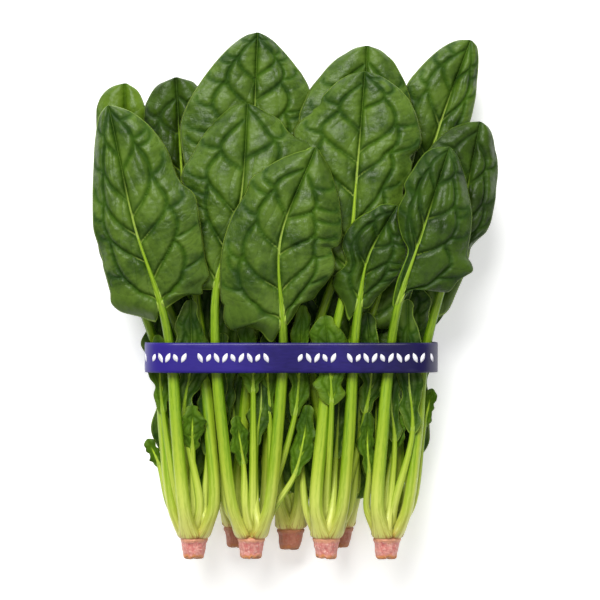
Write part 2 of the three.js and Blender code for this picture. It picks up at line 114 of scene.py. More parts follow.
# Blades with margins made by rule: the left and the right half, each as (half-width, share of the length
# where it is widest, how much of it is kept at the base), how far the lobes reach back, and 1 or -1 for
# facing up or down.
HALVES = {
    "outer_left": ((15, 0.3, 0.8), (20, 0.4, 0.8), 6, 1),
    "low_left": ((14, 0.4, 0.6), (22, 0.4, 0.6), 6, 1),
    "core_left": ((22, 0.4, 0.7), (20, 0.4, 0.7), 5, 1),
    "inner_left": ((15, 0.4, 0.8), (15, 0.4, 0.8), 5, 1),
    "inner_right": ((19, 0.4, 0.8), (18, 0.4, 0.8), 5, 1),
    "low_right": ((18, 0.4, 0.6), (11, 0.4, 0.6), 6, 1),
    "under_left": ((32, 0.45, 0.8), (32, 0.45, 0.8), 7, -1),
    "under_middle": ((33, 0.45, 0.8), (33, 0.45, 0.8), 7, -1),
    "under_right": ((32, 0.45, 0.8), (32, 0.45, 0.8), 7, -1),
    "lower_left": ((33, 0.45, 0.7), (32, 0.45, 0.7), 6, -1),
    "lower_right": ((33, 0.45, 0.7), (33, 0.45, 0.7), 6, -1),
    "middle_left": ((26, 0.45, 0.7), (29, 0.45, 0.7), 6, 1),
    "middle": ((34, 0.45, 0.7), (34, 0.45, 0.7), 6, 1),
    "middle_right": ((29, 0.45, 0.7), (26, 0.45, 0.7), 6, 1),
    "upper_left": ((31, 0.45, 0.7), (31, 0.45, 0.7), 6, 1),
    "upper_right": ((31, 0.45, 0.7), (30, 0.45, 0.7), 6, 1),
}

# Each young leaf: its plant, the way it grows from there, its half-width and its roll, the base, middle and
# tip of its blade, and where its stalk is led through, if it is.
YOUNG = {
    "a1": ("a", 90, 5.4, 6, (-56, -52, 47), (-56, -40, 50), (-55.5, -27, 51)),
    "a2": ("a", 60, 7, 4, (-61, -33, 44), (-57, -4, 45.6), (-57, 33, 49)),
    "a3": ("a", 160, 4.5, -10, (-73, -32, 41), (-75, -8, 41.6), (-76, 13, 43)),
    "a4": ("a", -160, 3, -10, (-75.5, -62, 34), (-78.5, -55, 34), (-82.5, -47, 33), (-69.5, -84, 38)),
    "b1": ("b", 120, 4.3, 25, (-27, -61, 47), (-29, -47, 49), (-31, -33, 49.5)),
    "b2": ("b", 80, 5.5, 0, (-21.5, -20, 48), (-22, -3, 50), (-26, 20, 52)),
    "b3": ("b", 10, 4, -6, (-12, -33, 44), (-13.5, -7, 46), (-14, 14, 46)),
    "b4": ("b", 0, 5, 10, (2, -34, 46), (5, -5, 48.5), (6.5, 30, 53)),
    "c1": ("b", 10, 5.2, -20, (2, -67, 44), (7, -47, 45), (10, -27, 46), (-9, -85, 43)),
    "c2": ("c", 90, 8, 0, (23, -26, 55.1), (22, -4, 55.2), (19.5, 24, 55.6)),
    "c3": ("c", 10, 6, 0, (42.5, -32, 42), (46, -6, 45.4), (43, 26, 47)),
    "d4": ("d", 175, 3.8, 15, (44.5, -66, 45), (43.5, -50, 45.5), (44, -31, 45.5), (43.2, -86, 42)),
    "d1": ("d", 55, 6, -8, (69, -43, 47), (67, -12, 48.5), (66, 33, 51)),
    "d2": ("d", 100, 3.8, -20, (57.5, -58, 43), (60, -43, 44), (62, -29, 44)),
    "d3": ("d", -10, 3, 10, (76, -40, 36), (78.5, -29, 35.5), (81, -18, 34.5), (69.5, -84, 39)),
}

# Small leaves deep between the stalks, in rows like those of YOUNG.
HEART = {
    "heart_1": ("a", -90, 12, 0, (-59, -74, 31), (-67, -6, 32), (-69, 44, 34)),
    "heart_2": ("f", 60, 12, 0, (-43, -82, 25), (-45, -14, 28), (-46, 42, 32)),
    "heart_3": ("b", -120, 10, 0, (-27, -80, 32), (-34, -16, 35), (-34, 36, 38)),
    "heart_4": ("e", 120, 12, 0, (-12, -80, 24), (-19, -12, 28), (-22, 42, 33)),
    "heart_5": ("e", 70, 12, 0, (5, -80, 24), (5, -14, 28), (3, 44, 33)),
    "heart_6": ("c", -110, 9, 0, (17, -80, 32), (10, -16, 35), (9, 34, 37)),
    "heart_7": ("g", 100, 12, 0, (37, -80, 25), (36, -12, 28), (31, 42, 32)),
    "heart_8": ("d", -100, 10, 0, (50, -74, 33), (49, -12, 35), (51, 38, 37)),
    "heart_9": ("d", -60, 12, 0, (60, -72, 29), (66, -8, 31), (68, 44, 33)),
    "side_1": ("a", 0, 6, 0, (-41, -58, 37), (-40, -20, 38), (-39, 14, 41), (-43.2, -87, 40)),
    "side_2": ("b", 180, 4.5, 0, (-40, -56, 41), (-42, -30, 41), (-43, 2, 43), (-36.5, -86, 41)),
    "side_3": ("c", 180, 5, 0, (6, -60, 39), (3, -28, 40), (0, 8, 42), (8.5, -87, 41)),
    "side_4": ("c", 0, 5.5, 0, (38, -56, 39), (39, -26, 40), (39, 8, 42), (33.8, -86, 40)),
    "side_5": ("b", 60, 5, 0, (-20, -50, 45), (-17, -26, 45), (-18, 4, 46), (-20, -86, 47)),
    "side_7": ("a", 40, 4.5, 0, (-47.5, -56, 41), (-46.5, -32, 41), (-46, -4, 42), (-49.5, -86, 45)),
    "side_8": ("c", 80, 5, 0, (25.5, -58, 42), (27, -34, 42), (28, -4, 43), (23.5, -86, 47)),
    "side_6": ("d", 90, 4.5, 0, (59, -48, 46), (57, -26, 46), (58, 2, 47), (56, -86, 48)),
}

# Margins of the other large blades, left and right, from the base to the tip: share of the length, distance
# from the midrib, and shift back towards the stalk where there is one.
EDGES = {
    "front_left": (
        (
            (0, 1.5, 2), (0.01, 6, 9.5), (0.06, 15, 8), (0.11, 24.5, 6), (0.14, 27.5, 2.5), (0.18, 26),
            (0.31, 25.5), (0.4, 24), (0.5, 24), (0.6, 22), (0.72, 18.5), (0.81, 15.5), (0.9, 11.5),
            (0.95, 8.5), (0.98, 5.5), (1, 0.3),
        ),
        (
            (0, 1.5, 2), (0.03, 4, 4), (0.06, 12.5, 4), (0.1, 24, 9), (0.11, 25, 6), (0.135, 31, 4),
            (0.18, 31.5), (0.3, 34), (0.44, 36.5), (0.54, 37.5), (0.58, 36), (0.62, 32), (0.67, 29.5),
            (0.77, 27.5), (0.87, 21.5), (0.92, 16.5), (0.96, 11), (0.99, 4), (1, 0.3),
        ),
    ),
    "front_middle": (
        (
            (0, 1.5, 3), (0.02, 7.5, 13), (0.05, 14, 7.5), (0.07, 20, 6.5), (0.1, 29.5, 10), (0.125, 33.5, 5),
            (0.15, 32.5), (0.19, 34), (0.37, 33), (0.55, 30), (0.69, 26.5), (0.73, 27), (0.79, 23.5),
            (0.87, 17), (0.94, 9.5), (1, 0.3),
        ),
        (
            (0, 1.5, 2), (0.05, 7, -0.5), (0.1, 12.5, -3), (0.14, 18.5), (0.18, 21.5), (0.24, 27), (0.31, 31),
            (0.38, 32), (0.45, 30.5), (0.505, 29.5), (0.54, 32.5), (0.6, 33.5), (0.7, 31), (0.8, 25),
            (0.89, 17), (0.93, 12.5), (0.96, 8), (1, 0.3),
        ),
    ),
    "front_right": (
        (
            (0, 1.5, 2), (0.03, 3, 4), (0.08, 4, 2), (0.16, 4.5), (0.33, 4), (0.37, 5), (0.42, 9.5),
            (0.48, 13), (0.6, 17), (0.68, 16), (0.725, 18), (0.83, 15.5), (0.91, 13), (0.95, 10.5), (0.98, 6),
            (1, 0.3),
        ),
        (
            (0, 1.5, 2), (0.04, 2.5), (0.08, 6, -5), (0.11, 11, -5.5), (0.13, 14.5, -2), (0.155, 21),
            (0.18, 26), (0.27, 29), (0.32, 32), (0.37, 35), (0.41, 33), (0.44, 30), (0.5, 28.5), (0.64, 26),
            (0.75, 22), (0.87, 15.5), (0.96, 8), (1, 0.3),
        ),
    ),
    "folded_right": (
        (
            (0, 1.5, 3), (0.02, 4.5, 11.5), (0.08, 9, 5.5), (0.14, 16, 0.5), (0.19, 17), (0.25, 16),
            (0.32, 12.5), (0.38, 11), (0.44, 13.5), (0.5, 16.5), (0.57, 17.5), (0.7, 16), (0.85, 11),
            (0.93, 8.5), (0.98, 4), (1, 0.3),
        ),
        (
            (0, 1.5, 2), (0.03, 5.5, 3), (0.09, 9.5), (0.29, 17), (0.46, 20.5), (0.6, 20.5), (0.71, 18),
            (0.79, 13.5), (0.86, 7), (0.92, 4.5), (1, 0.3),
        ),
    ),
    "second_left": (
        (
            (0, 1.5, 2), (0.03, 12, 6), (0.08, 20, 4), (0.16, 25, 1), (0.3, 29), (0.42, 29), (0.52, 30.5),
            (0.58, 34), (0.62, 35.5), (0.66, 35), (0.73, 31.5), (0.83, 26), (0.91, 19), (0.96, 13),
            (0.99, 7.5), (1, 1),
        ),
        (
            (0, 1.5, 2), (0.03, 10, 6), (0.08, 18, 4), (0.16, 23, 1), (0.35, 28), (0.55, 30), (0.64, 30),
            (0.71, 32.5), (0.8, 38), (0.83, 35), (0.85, 28.5), (0.88, 23.5), (0.93, 19), (0.95, 15.5),
            (0.97, 10), (0.99, 5), (1, 0.5),
        ),
    ),
    "second_right": (
        (
            (0, 1.5, 2), (0.03, 12, 6), (0.07, 22, 4), (0.13, 29, 1), (0.25, 34), (0.4, 36.5), (0.6, 37.5),
            (0.67, 38), (0.7, 36.5), (0.76, 31.5), (0.83, 26), (0.89, 20.5), (0.94, 15.5), (0.98, 9),
            (1, 0.3),
        ),
        (
            (0, 1.5, 2), (0.03, 10, 5), (0.07, 18, 3), (0.13, 23, 1), (0.31, 25), (0.35, 27.5), (0.4, 27),
            (0.52, 31), (0.545, 31), (0.57, 29.5), (0.63, 34.5), (0.67, 35), (0.77, 32), (0.83, 29),
            (0.88, 25.5), (0.92, 21), (0.96, 14.5), (0.99, 8), (1, 0.5),
        ),
    ),
    "tall_left": (
        (
            (0, 1.5, 2), (0.04, 14, 5), (0.1, 26, 3), (0.2, 34), (0.32, 39), (0.5, 42), (0.6, 39),
            (0.7, 33.5), (0.8, 26.5), (0.9, 18), (0.96, 11), (0.99, 5.5), (1, 1),
        ),
        (
            (0, 1.5, 2), (0.04, 12, 5), (0.1, 22, 3), (0.2, 29), (0.35, 33), (0.64, 33.5), (0.74, 30.5),
            (0.8, 27), (0.85, 22.5), (0.91, 16.5), (0.96, 10.5), (0.99, 4.5), (1, 1),
        ),
    ),
    "tall_right": (
        (
            (0, 1.5, 2), (0.05, 14, 4), (0.15, 28, 1), (0.3, 36), (0.45, 38.5), (0.6, 38), (0.69, 35),
            (0.76, 32), (0.83, 26.5), (0.89, 21.5), (0.93, 17), (0.96, 12), (0.99, 6), (1, 1),
        ),
        (
            (0, 1.5, 2), (0.05, 12, 4), (0.15, 22, 1), (0.3, 28), (0.45, 30), (0.6, 29.5), (0.7, 26.5),
            (0.81, 22.5), (0.87, 19), (0.92, 15.5), (0.95, 12), (0.985, 7), (1, 1),
        ),
    ),
    "back_far_left": (
        (
            (0, 1.5, 2), (0.06, 9, 2), (0.2, 14), (0.45, 16.5), (0.8, 17), (0.88, 15), (0.95, 11),
            (0.985, 6.5), (1, 1),
        ),
        (
            (0, 1.5, 2), (0.06, 9, 2), (0.2, 15), (0.45, 17), (0.67, 15), (0.78, 13), (0.9, 9.5), (0.95, 7),
            (1, 1),
        ),
    ),
    "back_left": (
        (
            (0, 1.5, 2), (0.06, 12, 3), (0.2, 20), (0.45, 22), (0.68, 20.5), (0.8, 19), (0.91, 14.5),
            (0.96, 10.5), (1, 1),
        ),
        (
            (0, 1.5, 2), (0.06, 12, 3), (0.2, 20), (0.45, 23), (0.68, 20), (0.77, 18), (0.86, 15), (0.96, 10),
            (1, 1),
        ),
    ),
    "back_right": (
        (
            (0, 1.5, 2), (0.08, 12, 3), (0.25, 19), (0.45, 22.5), (0.56, 25), (0.65, 25.5), (0.76, 22),
            (0.88, 16), (0.94, 11.5), (0.98, 6.5), (1, 1),
        ),
        (
            (0, 1.5, 2), (0.08, 9, 3), (0.25, 14), (0.45, 16), (0.6, 16), (0.72, 14.5), (0.8, 12.5),
            (0.88, 10), (0.95, 7), (0.985, 4.5), (1, 1),
        ),
    ),
    "outer_right": (
        (
            (0, 1.5, 2), (0.06, 8, 2), (0.2, 16), (0.4, 23.5), (0.6, 29), (0.7, 29), (0.78, 26.5), (0.86, 22),
            (0.91, 18), (0.95, 13), (0.985, 6), (1, 1),
        ),
        (
            (0, 1.5, 1), (0.05, 5), (0.12, 9), (0.22, 10.5), (0.27, 11), (0.33, 13.5), (0.4, 17), (0.5, 18),
            (0.7, 17.5), (0.82, 15), (0.88, 12), (0.955, 8), (0.985, 5), (1, 1),
        ),
    ),
}

# ---- Lines through points -----------------------------------------------------------------------


def smooth(value, low, high):
    """0 below low, 1 above high, and an S-shaped step between them."""
    x = min(max((value - low) / (high - low), 0.0), 1.0)
    return x * x * (3 - 2 * x)


def mixed(a, b, share):
    return a + (b - a) * share


def read_off(table, x):
    """The values of a table at x. Each row is (x, value, value...), and x rises from row to row."""
    if x <= table[0][0]:
        return table[0][1:]
    for low, high in zip(table, table[1:]):
        if x <= high[0]:
            share = (x - low[0]) / (high[0] - low[0])
            return [mixed(a, b, share) for a, b in zip(low[1:], high[1:])]
    return table[-1][1:]


def slopes(before, row, after):
    """How fast each value of a table changes at one of its rows: not at all where it turns back."""
    into = [(b - a) / (row[0] - before[0]) for a, b in zip(before[1:], row[1:])]
    out = [(b - a) / (after[0] - row[0]) for a, b in zip(row[1:], after[1:])]
    return [2 * a * b / (a + b) if a * b > 0 else 0.0 for a, b in zip(into, out)]


def curve_off(table, x):
    """The values of a table at x, on a smooth curve through its rows that never swings past them."""
    i = next((i for i in range(1, len(table)) if x <= table[i][0]), len(table) - 1)
    low, high = table[i - 1], table[i]
    wide = high[0] - low[0]
    w = min(max((x - low[0]) / wide, 0.0), 1.0)
    before = table[i - 2] if i > 1 else [2 * a - b for a, b in zip(low, high)]
    after = table[i + 1] if i + 1 < len(table) else [2 * b - a for a, b in zip(low, high)]
    return [
        mixed(a, b, w * w * (3 - 2 * w)) + wide * (p * w * (1 - w) ** 2 - q * w * w * (1 - w))
        for a, b, p, q in zip(low[1:], high[1:], slopes(before, low, high), slopes(low, high, after))
    ]


class Line:
    """A smooth line through points, 0 at the first and 1 at the last (a centripetal Catmull-Rom spline)."""

    def __init__(self, points):
        self.points = [Vector(p) for p in points]

    def at(self, t):
        p, last = self.points, len(self.points) - 1
        place = min(max(t, 0.0), 1.0) * last
        i = min(int(place), last - 1)
        b, c = p[i], p[i + 1]
        a = p[i - 1] if i > 0 else 2 * b - c
        d = p[i + 2] if i + 2 <= last else 2 * c - b
        ab, bc, cd = (sqrt((y - x).length) or 1.0 for x, y in ((a, b), (b, c), (c, d)))
        leave = ((b - a) / ab - (c - a) / (ab + bc) + (c - b) / bc) * bc
        reach = ((c - b) / bc - (d - b) / (bc + cd) + (d - c) / cd) * bc
        w = place - i
        return b + leave * w + (3 * (c - b) - 2 * leave - reach) * w**2 + (2 * (b - c) + leave + reach) * w**3

    def way(self, t):
        return (self.at(t + 1e-4) - self.at(t - 1e-4)).normalized()


# ---- Where a leaf's stalk and midrib run --------------------------------------------------------

LENGTH_STEPS = 40
# Where a stalk starts: distance from its plant's axis, and distance above the root's top.
FEET = {"large": (5.2, 0.2), "led": (5, 0.2), "small": (2, 3)}
# A margin made by rule: the shares of the length over which the blade opens and its lobes end, its waves as
# (part of the width, pace), and how much they count.
OPENS, LOBES_END = 0.035, 0.14
MARGIN_WAVES = ((0.03, 9), (0.022, 19), (0.012, 34))
RAGGED = {"large": 1, "small": 6.5}
# How long the rounded end of a blade is: at most, and as a share of the blade.
TIP_ROUND = {"most": 5.5, "share": 0.05}


class Leaf:
    """A leaf: its line from the heart of its plant to its tip, and the halves of its blade on both sides."""

    def __init__(
        self, plant, turn, roll, blade, halves, edges=(), slot=None, via=None, cup=1, lobe=0, faces=1
    ):
        at, spread = Vector(PLANTS[plant][0]), PLANTS[plant][1]
        away = Vector((cos(radians(turn)), 0, sin(radians(turn))))
        beside = lambda radius, up: at + away * radius + Vector((0, up, 0))
        if slot:
            bulge, slot = beside(spread, 19), Vector((slot[0], 0, slot[1]))
            stalk = [beside(*FEET["large"]), beside(spread * 0.66, 7), bulge]
            stalk += [bulge.lerp(slot, 0.5) + away, slot]
        elif via:
            stalk = [beside(*FEET["led"]), beside(8.2, 7), Vector(via)]
        else:
            stalk = [beside(*FEET["small"]), beside(spread * (0.35 + 0.4 * abs(away.x)), 20)]
        self.line, self.start = Line([*stalk, *blade]), len(stalk) / (len(stalk) + 2)
        self.plant, self.away, self.large = plant, away, slot is not None
        self.roll, self.cup, self.lobe, self.faces = roll, cup, lobe, faces
        self.girth, self.round = (1.0, 0.54) if slot else (0.66, 0.42)
        self.halves = dict(zip(SIDES, halves))
        self.edges = {side: [(*row, 0.0)[:3] for row in rows] for side, rows in zip(SIDES, edges)}
        self.wander = [turn * 0.07 + blade[-1][1] * 0.3 + i * 2.1 for i in range(3)]
        spots = [self.line.at(mixed(self.start, 1, i / LENGTH_STEPS)) for i in range(LENGTH_STEPS + 1)]
        self.length = sum((b - a).length for a, b in zip(spots, spots[1:]))

    def frame(self, t):
        """The place at t on the line, the way along it, the side to its right, and out, where it faces."""
        roll = radians(self.roll)
        out = Vector((sin(roll), 0, cos(roll))) * self.faces
        radial = -self.away if self.away.dot(out) < 0 else self.away
        out = out.lerp(radial, 1 - smooth(t, self.start * 0.3, self.start))
        along = self.line.way(t)
        side = along.cross(out).normalized()
        return self.line.at(t), along, side, side.cross(along)

    def edge(self, side, s):
        """How far the margin is from the midrib on one side, -1 or 1, and how far it is shifted back.

        s is 0 at the base and 1 at the tip.
        """
        if self.edges:
            wide, back = curve_off(self.edges[side], s)
            return max(wide, self.blunt(s)), back
        half, widest, kept = self.halves[side]
        wide = half * (1 - 0.95 * exp(-s / OPENS))
        if s < widest:
            wide *= 1 - (1 - kept) * ((widest - s) / widest) ** 2
        else:
            wide *= (1 - ((s - widest) / (1 - widest)) ** 2) ** self.round
        starts = (w * (1.5 + side * 0.5) for w in self.wander)
        waves = sum(size * sin(start + s * pace) for start, (size, pace) in zip(starts, MARGIN_WAVES))
        ragged = RAGGED["large" if self.large else "small"]
        wide *= 1 + waves * ragged * smooth(s, 0, 0.15) * smooth(1 - s, 0, 0.12)
        return max(wide, self.blunt(s)), self.lobe * exp(-((s / LOBES_END) ** 2))

    def blunt(self, s):
        """The least half-width at s, so that the base is not torn and the tip is rounded."""
        round_end = min(TIP_ROUND["most"], self.length * TIP_ROUND["share"])
        near = (1 - s) * self.length / round_end
        return max(0.3, round_end * sqrt(1 - (1 - near) ** 2)) if near < 1 and s < 1 else mixed(1.2, 0.3, s)


def large_leaf(name):
    plant, turn, slot, *blade, roll, cup = LEAVES[name]
    left, right, lobe, faces = HALVES.get(name, (None, None, 0, 1))
    edges = EDGES.get(name, ())
    return Leaf(plant, turn, roll, blade, (left, right), edges, slot, cup=cup, lobe=lobe, faces=faces)


def small_leaf(plant, turn, half, roll, base, mid, tip, via=None):
    halves = ((half * 1.3, 0.55, 0.5), (half * 1.25, 0.5, 0.45))
    return Leaf(plant, turn, roll, (base, mid, tip), halves, via=via, lobe=1.5)


# ---- The veins of a blade -----------------------------------------------------------------------

VEINS = {"spacing": 24, "fewest": 3, "most": 5, "loop": 0.7, "steps": 24, "fine steps": 10}
CROSSINGS = ((0.22, 0.1), (0.42, 0.3), (0.66, 0.5))  # shares of a side vein, and of the one above it
BRANCHES = (0.3, 0.45, 0.6, 0.75, 0.9)


def curve_through(a, b, c, d, steps):
    """The points of a cubic curve with four handles."""
    points = []
    for i in range(steps + 1):
        t = i / steps
        points.append(a * (1 - t) ** 3 + b * 3 * t * (1 - t) ** 2 + c * 3 * t**2 * (1 - t) + d * t**3)
    return points


def vein_lines(leaf, chance):
    """The side veins of a blade, and the finer ones between them, as points (across, share of the length).

    A side vein leaves the midrib at a slant, bends up along the margin, and ends on the next one above it.
    """
    count = max(VEINS["fewest"], min(VEINS["most"], round(leaf.length / VEINS["spacing"])))
    side_veins, fine_veins = [], []
    draw = chance.uniform

    def add(veins, handles, steps=VEINS["fine steps"]):
        path = curve_through(*handles, steps)
        veins.append([(side * p.x, p.y) for p in path])
        return path

    def on(path, share):
        return path[round(share * VEINS["steps"])]

    for side in SIDES:
        shift = draw(-0.35, 0.35)
        starts = [0.92 * ((i + shift) / count) ** 0.92 + draw(-0.035, 0.035) for i in range(1, count)]
        above = None
        for start in reversed([0.01, *starts]):
            loop = VEINS["loop"] + draw(-0.1, 0.06)
            end = on(above, draw(0.42, 0.72)) if above else Vector((0.1, min(0.97, start + 0.24)))
            rise = end.y - start
            leaving = Vector((0.27, start + draw(0.2, 0.3) * rise))
            turning = Vector((loop + 0.18, start + draw(0.42, 0.58) * rise))
            path = add(side_veins, (Vector((0, start)), leaving, turning, end), VEINS["steps"])
            for low_k, high_k in CROSSINGS if above else ():
                low = on(path, low_k + draw(-0.06, 0.06))
                high = on(above, high_k + draw(-0.07, 0.07))
                bend = low.lerp(high, draw(0.35, 0.65))
                bend += Vector((draw(-0.07, 0.09), draw(-0.02, 0.03)))
                add(fine_veins, (low, low.lerp(bend, 0.8), high.lerp(bend, 0.8), high))
            outer = None
            for k in BRANCHES:
                low = on(path, k + draw(-0.05, 0.05))
                reach = Vector((draw(0.86, 0.97), min(0.985, low.y + draw(0.03, 0.08))))
                thick = k == 0.6 or (k == 0.9 and chance.random() < 0.5)
                handles = (Vector((low.x + 0.08, low.y)), Vector((reach.x, mixed(low.y, reach.y, 0.3))))
                add(side_veins if thick else fine_veins, (low, *handles, reach))
                if outer:
                    handles = (Vector((0.97, mixed(outer.y, reach.y, share))) for share in (0.4, 0.8))
                    add(fine_veins, (outer, *handles, reach))
                outer = reach
            above = path
    return side_veins, fine_veins


# ---- Values in node trees -----------------------------------------------------------------------


def plug(sockets, name):
    """The socket of that name that is in use, because some nodes have one for each kind of value."""
    return next(s for s in sockets if s.name == name and s.enabled)


def feed(value, socket):
    if isinstance(value, Term):
        value = value.socket
    if isinstance(value, bpy.types.NodeSocket):
        socket.id_data.links.new(value, socket)
    else:
        socket.default_value = value


def add_node(tree, kind, wires=(), **settings):
    """A new node with its settings made and its inputs fed."""
    node = tree.nodes.new(kind)
    for name, value in settings.items():
        setattr(node, name, value)
    for name, value in dict(wires).items():
        feed(value, plug(node.inputs, name))
    return node


def term(tree, kind, wires=(), output=0, **settings):
    """What a new node gives."""
    return Term(add_node(tree, kind, wires, **settings).outputs[output])


def sum_of(operation):
    """A method that makes a node with that operation."""
    return lambda value, *others: value.math(operation, *others)


class Term:
    """A value in a node tree, with the operators that make nodes, so that a rule reads as it is said."""

    def __init__(self, socket):
        self.socket, self.tree = socket, socket.id_data
        self.is_vector = socket.type == "VECTOR"

    def math(self, operation, *others):
        kind = "ShaderNodeVectorMath" if self.is_vector else "ShaderNodeMath"
        node = add_node(self.tree, kind, operation=operation)
        for value, socket in zip((self, *others), node.inputs):
            feed(value, socket)
        return Term(node.outputs[0])

    def __mul__(self, other):
        if self.is_vector and not (isinstance(other, Term) and other.is_vector):
            wires = {"Vector": self, "Scale": other}
            return term(self.tree, "ShaderNodeVectorMath", wires, operation="SCALE")
        return self.math("MULTIPLY", other)

    def __rsub__(self, other):
        return self * -1.0 + other

    __add__, __sub__, __truediv__, __pow__ = map(sum_of, ("ADD", "SUBTRACT", "DIVIDE", "POWER"))
    __radd__, __rmul__ = __add__, __mul__
    __gt__, __lt__, least, most = map(sum_of, ("GREATER_THAN", "LESS_THAN", "MINIMUM", "MAXIMUM"))
    size, sign, rounded = map(sum_of, ("ABSOLUTE", "SIGN", "ROUND"))
    sine, cosine, root, power_of_e = map(sum_of, ("SINE", "COSINE", "SQRT", "EXPONENT"))

    def step(self, low, high):
        """0 below low, 1 above high, and an S-shaped step between them. low may be above high."""
        wires = {"Value": self, "From Min": low, "From Max": high}
        return term(self.tree, "ShaderNodeMapRange", wires, "Result", interpolation_type="SMOOTHSTEP")

    def parts(self):
        return [Term(s) for s in add_node(self.tree, "ShaderNodeSeparateXYZ", {"Vector": self}).outputs]


def vector_of(tree, x, y, z):
    return term(tree, "ShaderNodeCombineXYZ", {"X": x, "Y": y, "Z": z})


def noise(tree, vector, scale, detail=2.0, roughness=0.5):
    """Smooth noise, from about 0 to 1."""
    wires = {"Vector": vector, "Scale": scale, "Detail": detail, "Roughness": roughness}
    return term(tree, "ShaderNodeTexNoise", wires)


def new_tree(name, kind, takes, gives):
    """A tree with named inputs and outputs. An input is given as its default or as the kind of its socket.

    Returns the tree, its inputs and its end.
    """
    tree = bpy.data.node_groups.new(name, kind)
    for label, given in takes.items():
        socket = {float: "Float", int: "Int"}.get(type(given), given)
        made = tree.interface.new_socket(label, in_out="INPUT", socket_type="NodeSocket" + socket)
        if socket is not given:
            made.default_value = given
    for label, socket in gives.items():
        tree.interface.new_socket(label, in_out="OUTPUT", socket_type="NodeSocket" + socket)
    start, end = tree.nodes.new("NodeGroupInput"), tree.nodes.new("NodeGroupOutput")
    return tree, {label: Term(start.outputs[label]) for label in takes}, end


# ---- Geometry node trees ------------------------------------------------------------------------


def read(tree, name, kind="FLOAT"):
    return term(tree, "GeometryNodeInputNamedAttribute", {"Name": name}, "Attribute", data_type=kind)


def read_vector(tree, name):
    return read(tree, name, "FLOAT_VECTOR")


def keep(tree, geometry, name, value, kind="FLOAT", domain="POINT"):
    wires = {"Geometry": geometry, "Name": name, "Value": value}
    return term(tree, "GeometryNodeStoreNamedAttribute", wires, data_type=kind, domain=domain)


def keep_vector(tree, geometry, name, *parts):
    return keep(tree, geometry, name, vector_of(tree, *parts), "FLOAT_VECTOR")


def keep_map(tree, geometry, across, along):
    return keep(tree, geometry, "UVMap", vector_of(tree, across, along, 0.0), "FLOAT2", "CORNER")


def part_of(tree, geometry, chosen):
    wires = {"Geometry": geometry, "Selection": chosen}
    return term(tree, "GeometryNodeSeparateGeometry", wires, domain="POINT")


def distance_to(tree, lines, place):
    wires = {"Geometry": lines, "Sample Position": place}
    return term(tree, "GeometryNodeProximity", wires, "Distance", target_element="EDGES")


def placed(tree, geometry, place):
    return term(tree, "GeometryNodeSetPosition", {"Geometry": geometry, "Position": place})


def flipped(tree, mesh):
    return term(tree, "GeometryNodeFlipFaces", {"Mesh": mesh})


def welded(tree, *geometries):
    """Geometries joined, with the points that fall together made one."""
    node = tree.nodes.new("GeometryNodeJoinGeometry")
    for geometry in reversed(geometries):
        tree.links.new(geometry.socket, node.inputs[0])
    wires = {"Geometry": Term(node.outputs[0]), "Distance": 1e-6}
    return term(tree, "GeometryNodeMergeByDistance", wires)


def finished(tree, end, geometry, finish):
    """Ends a tree: instances made real, shaded smooth, and the finish put on."""
    real = term(tree, "GeometryNodeRealizeInstances", {"Geometry": geometry})
    smoothed = term(tree, "GeometryNodeSetShadeSmooth", {"Geometry": real})
    feed(term(tree, "GeometryNodeSetMaterial", {"Geometry": smoothed, "Material": finish}), end.inputs[0])


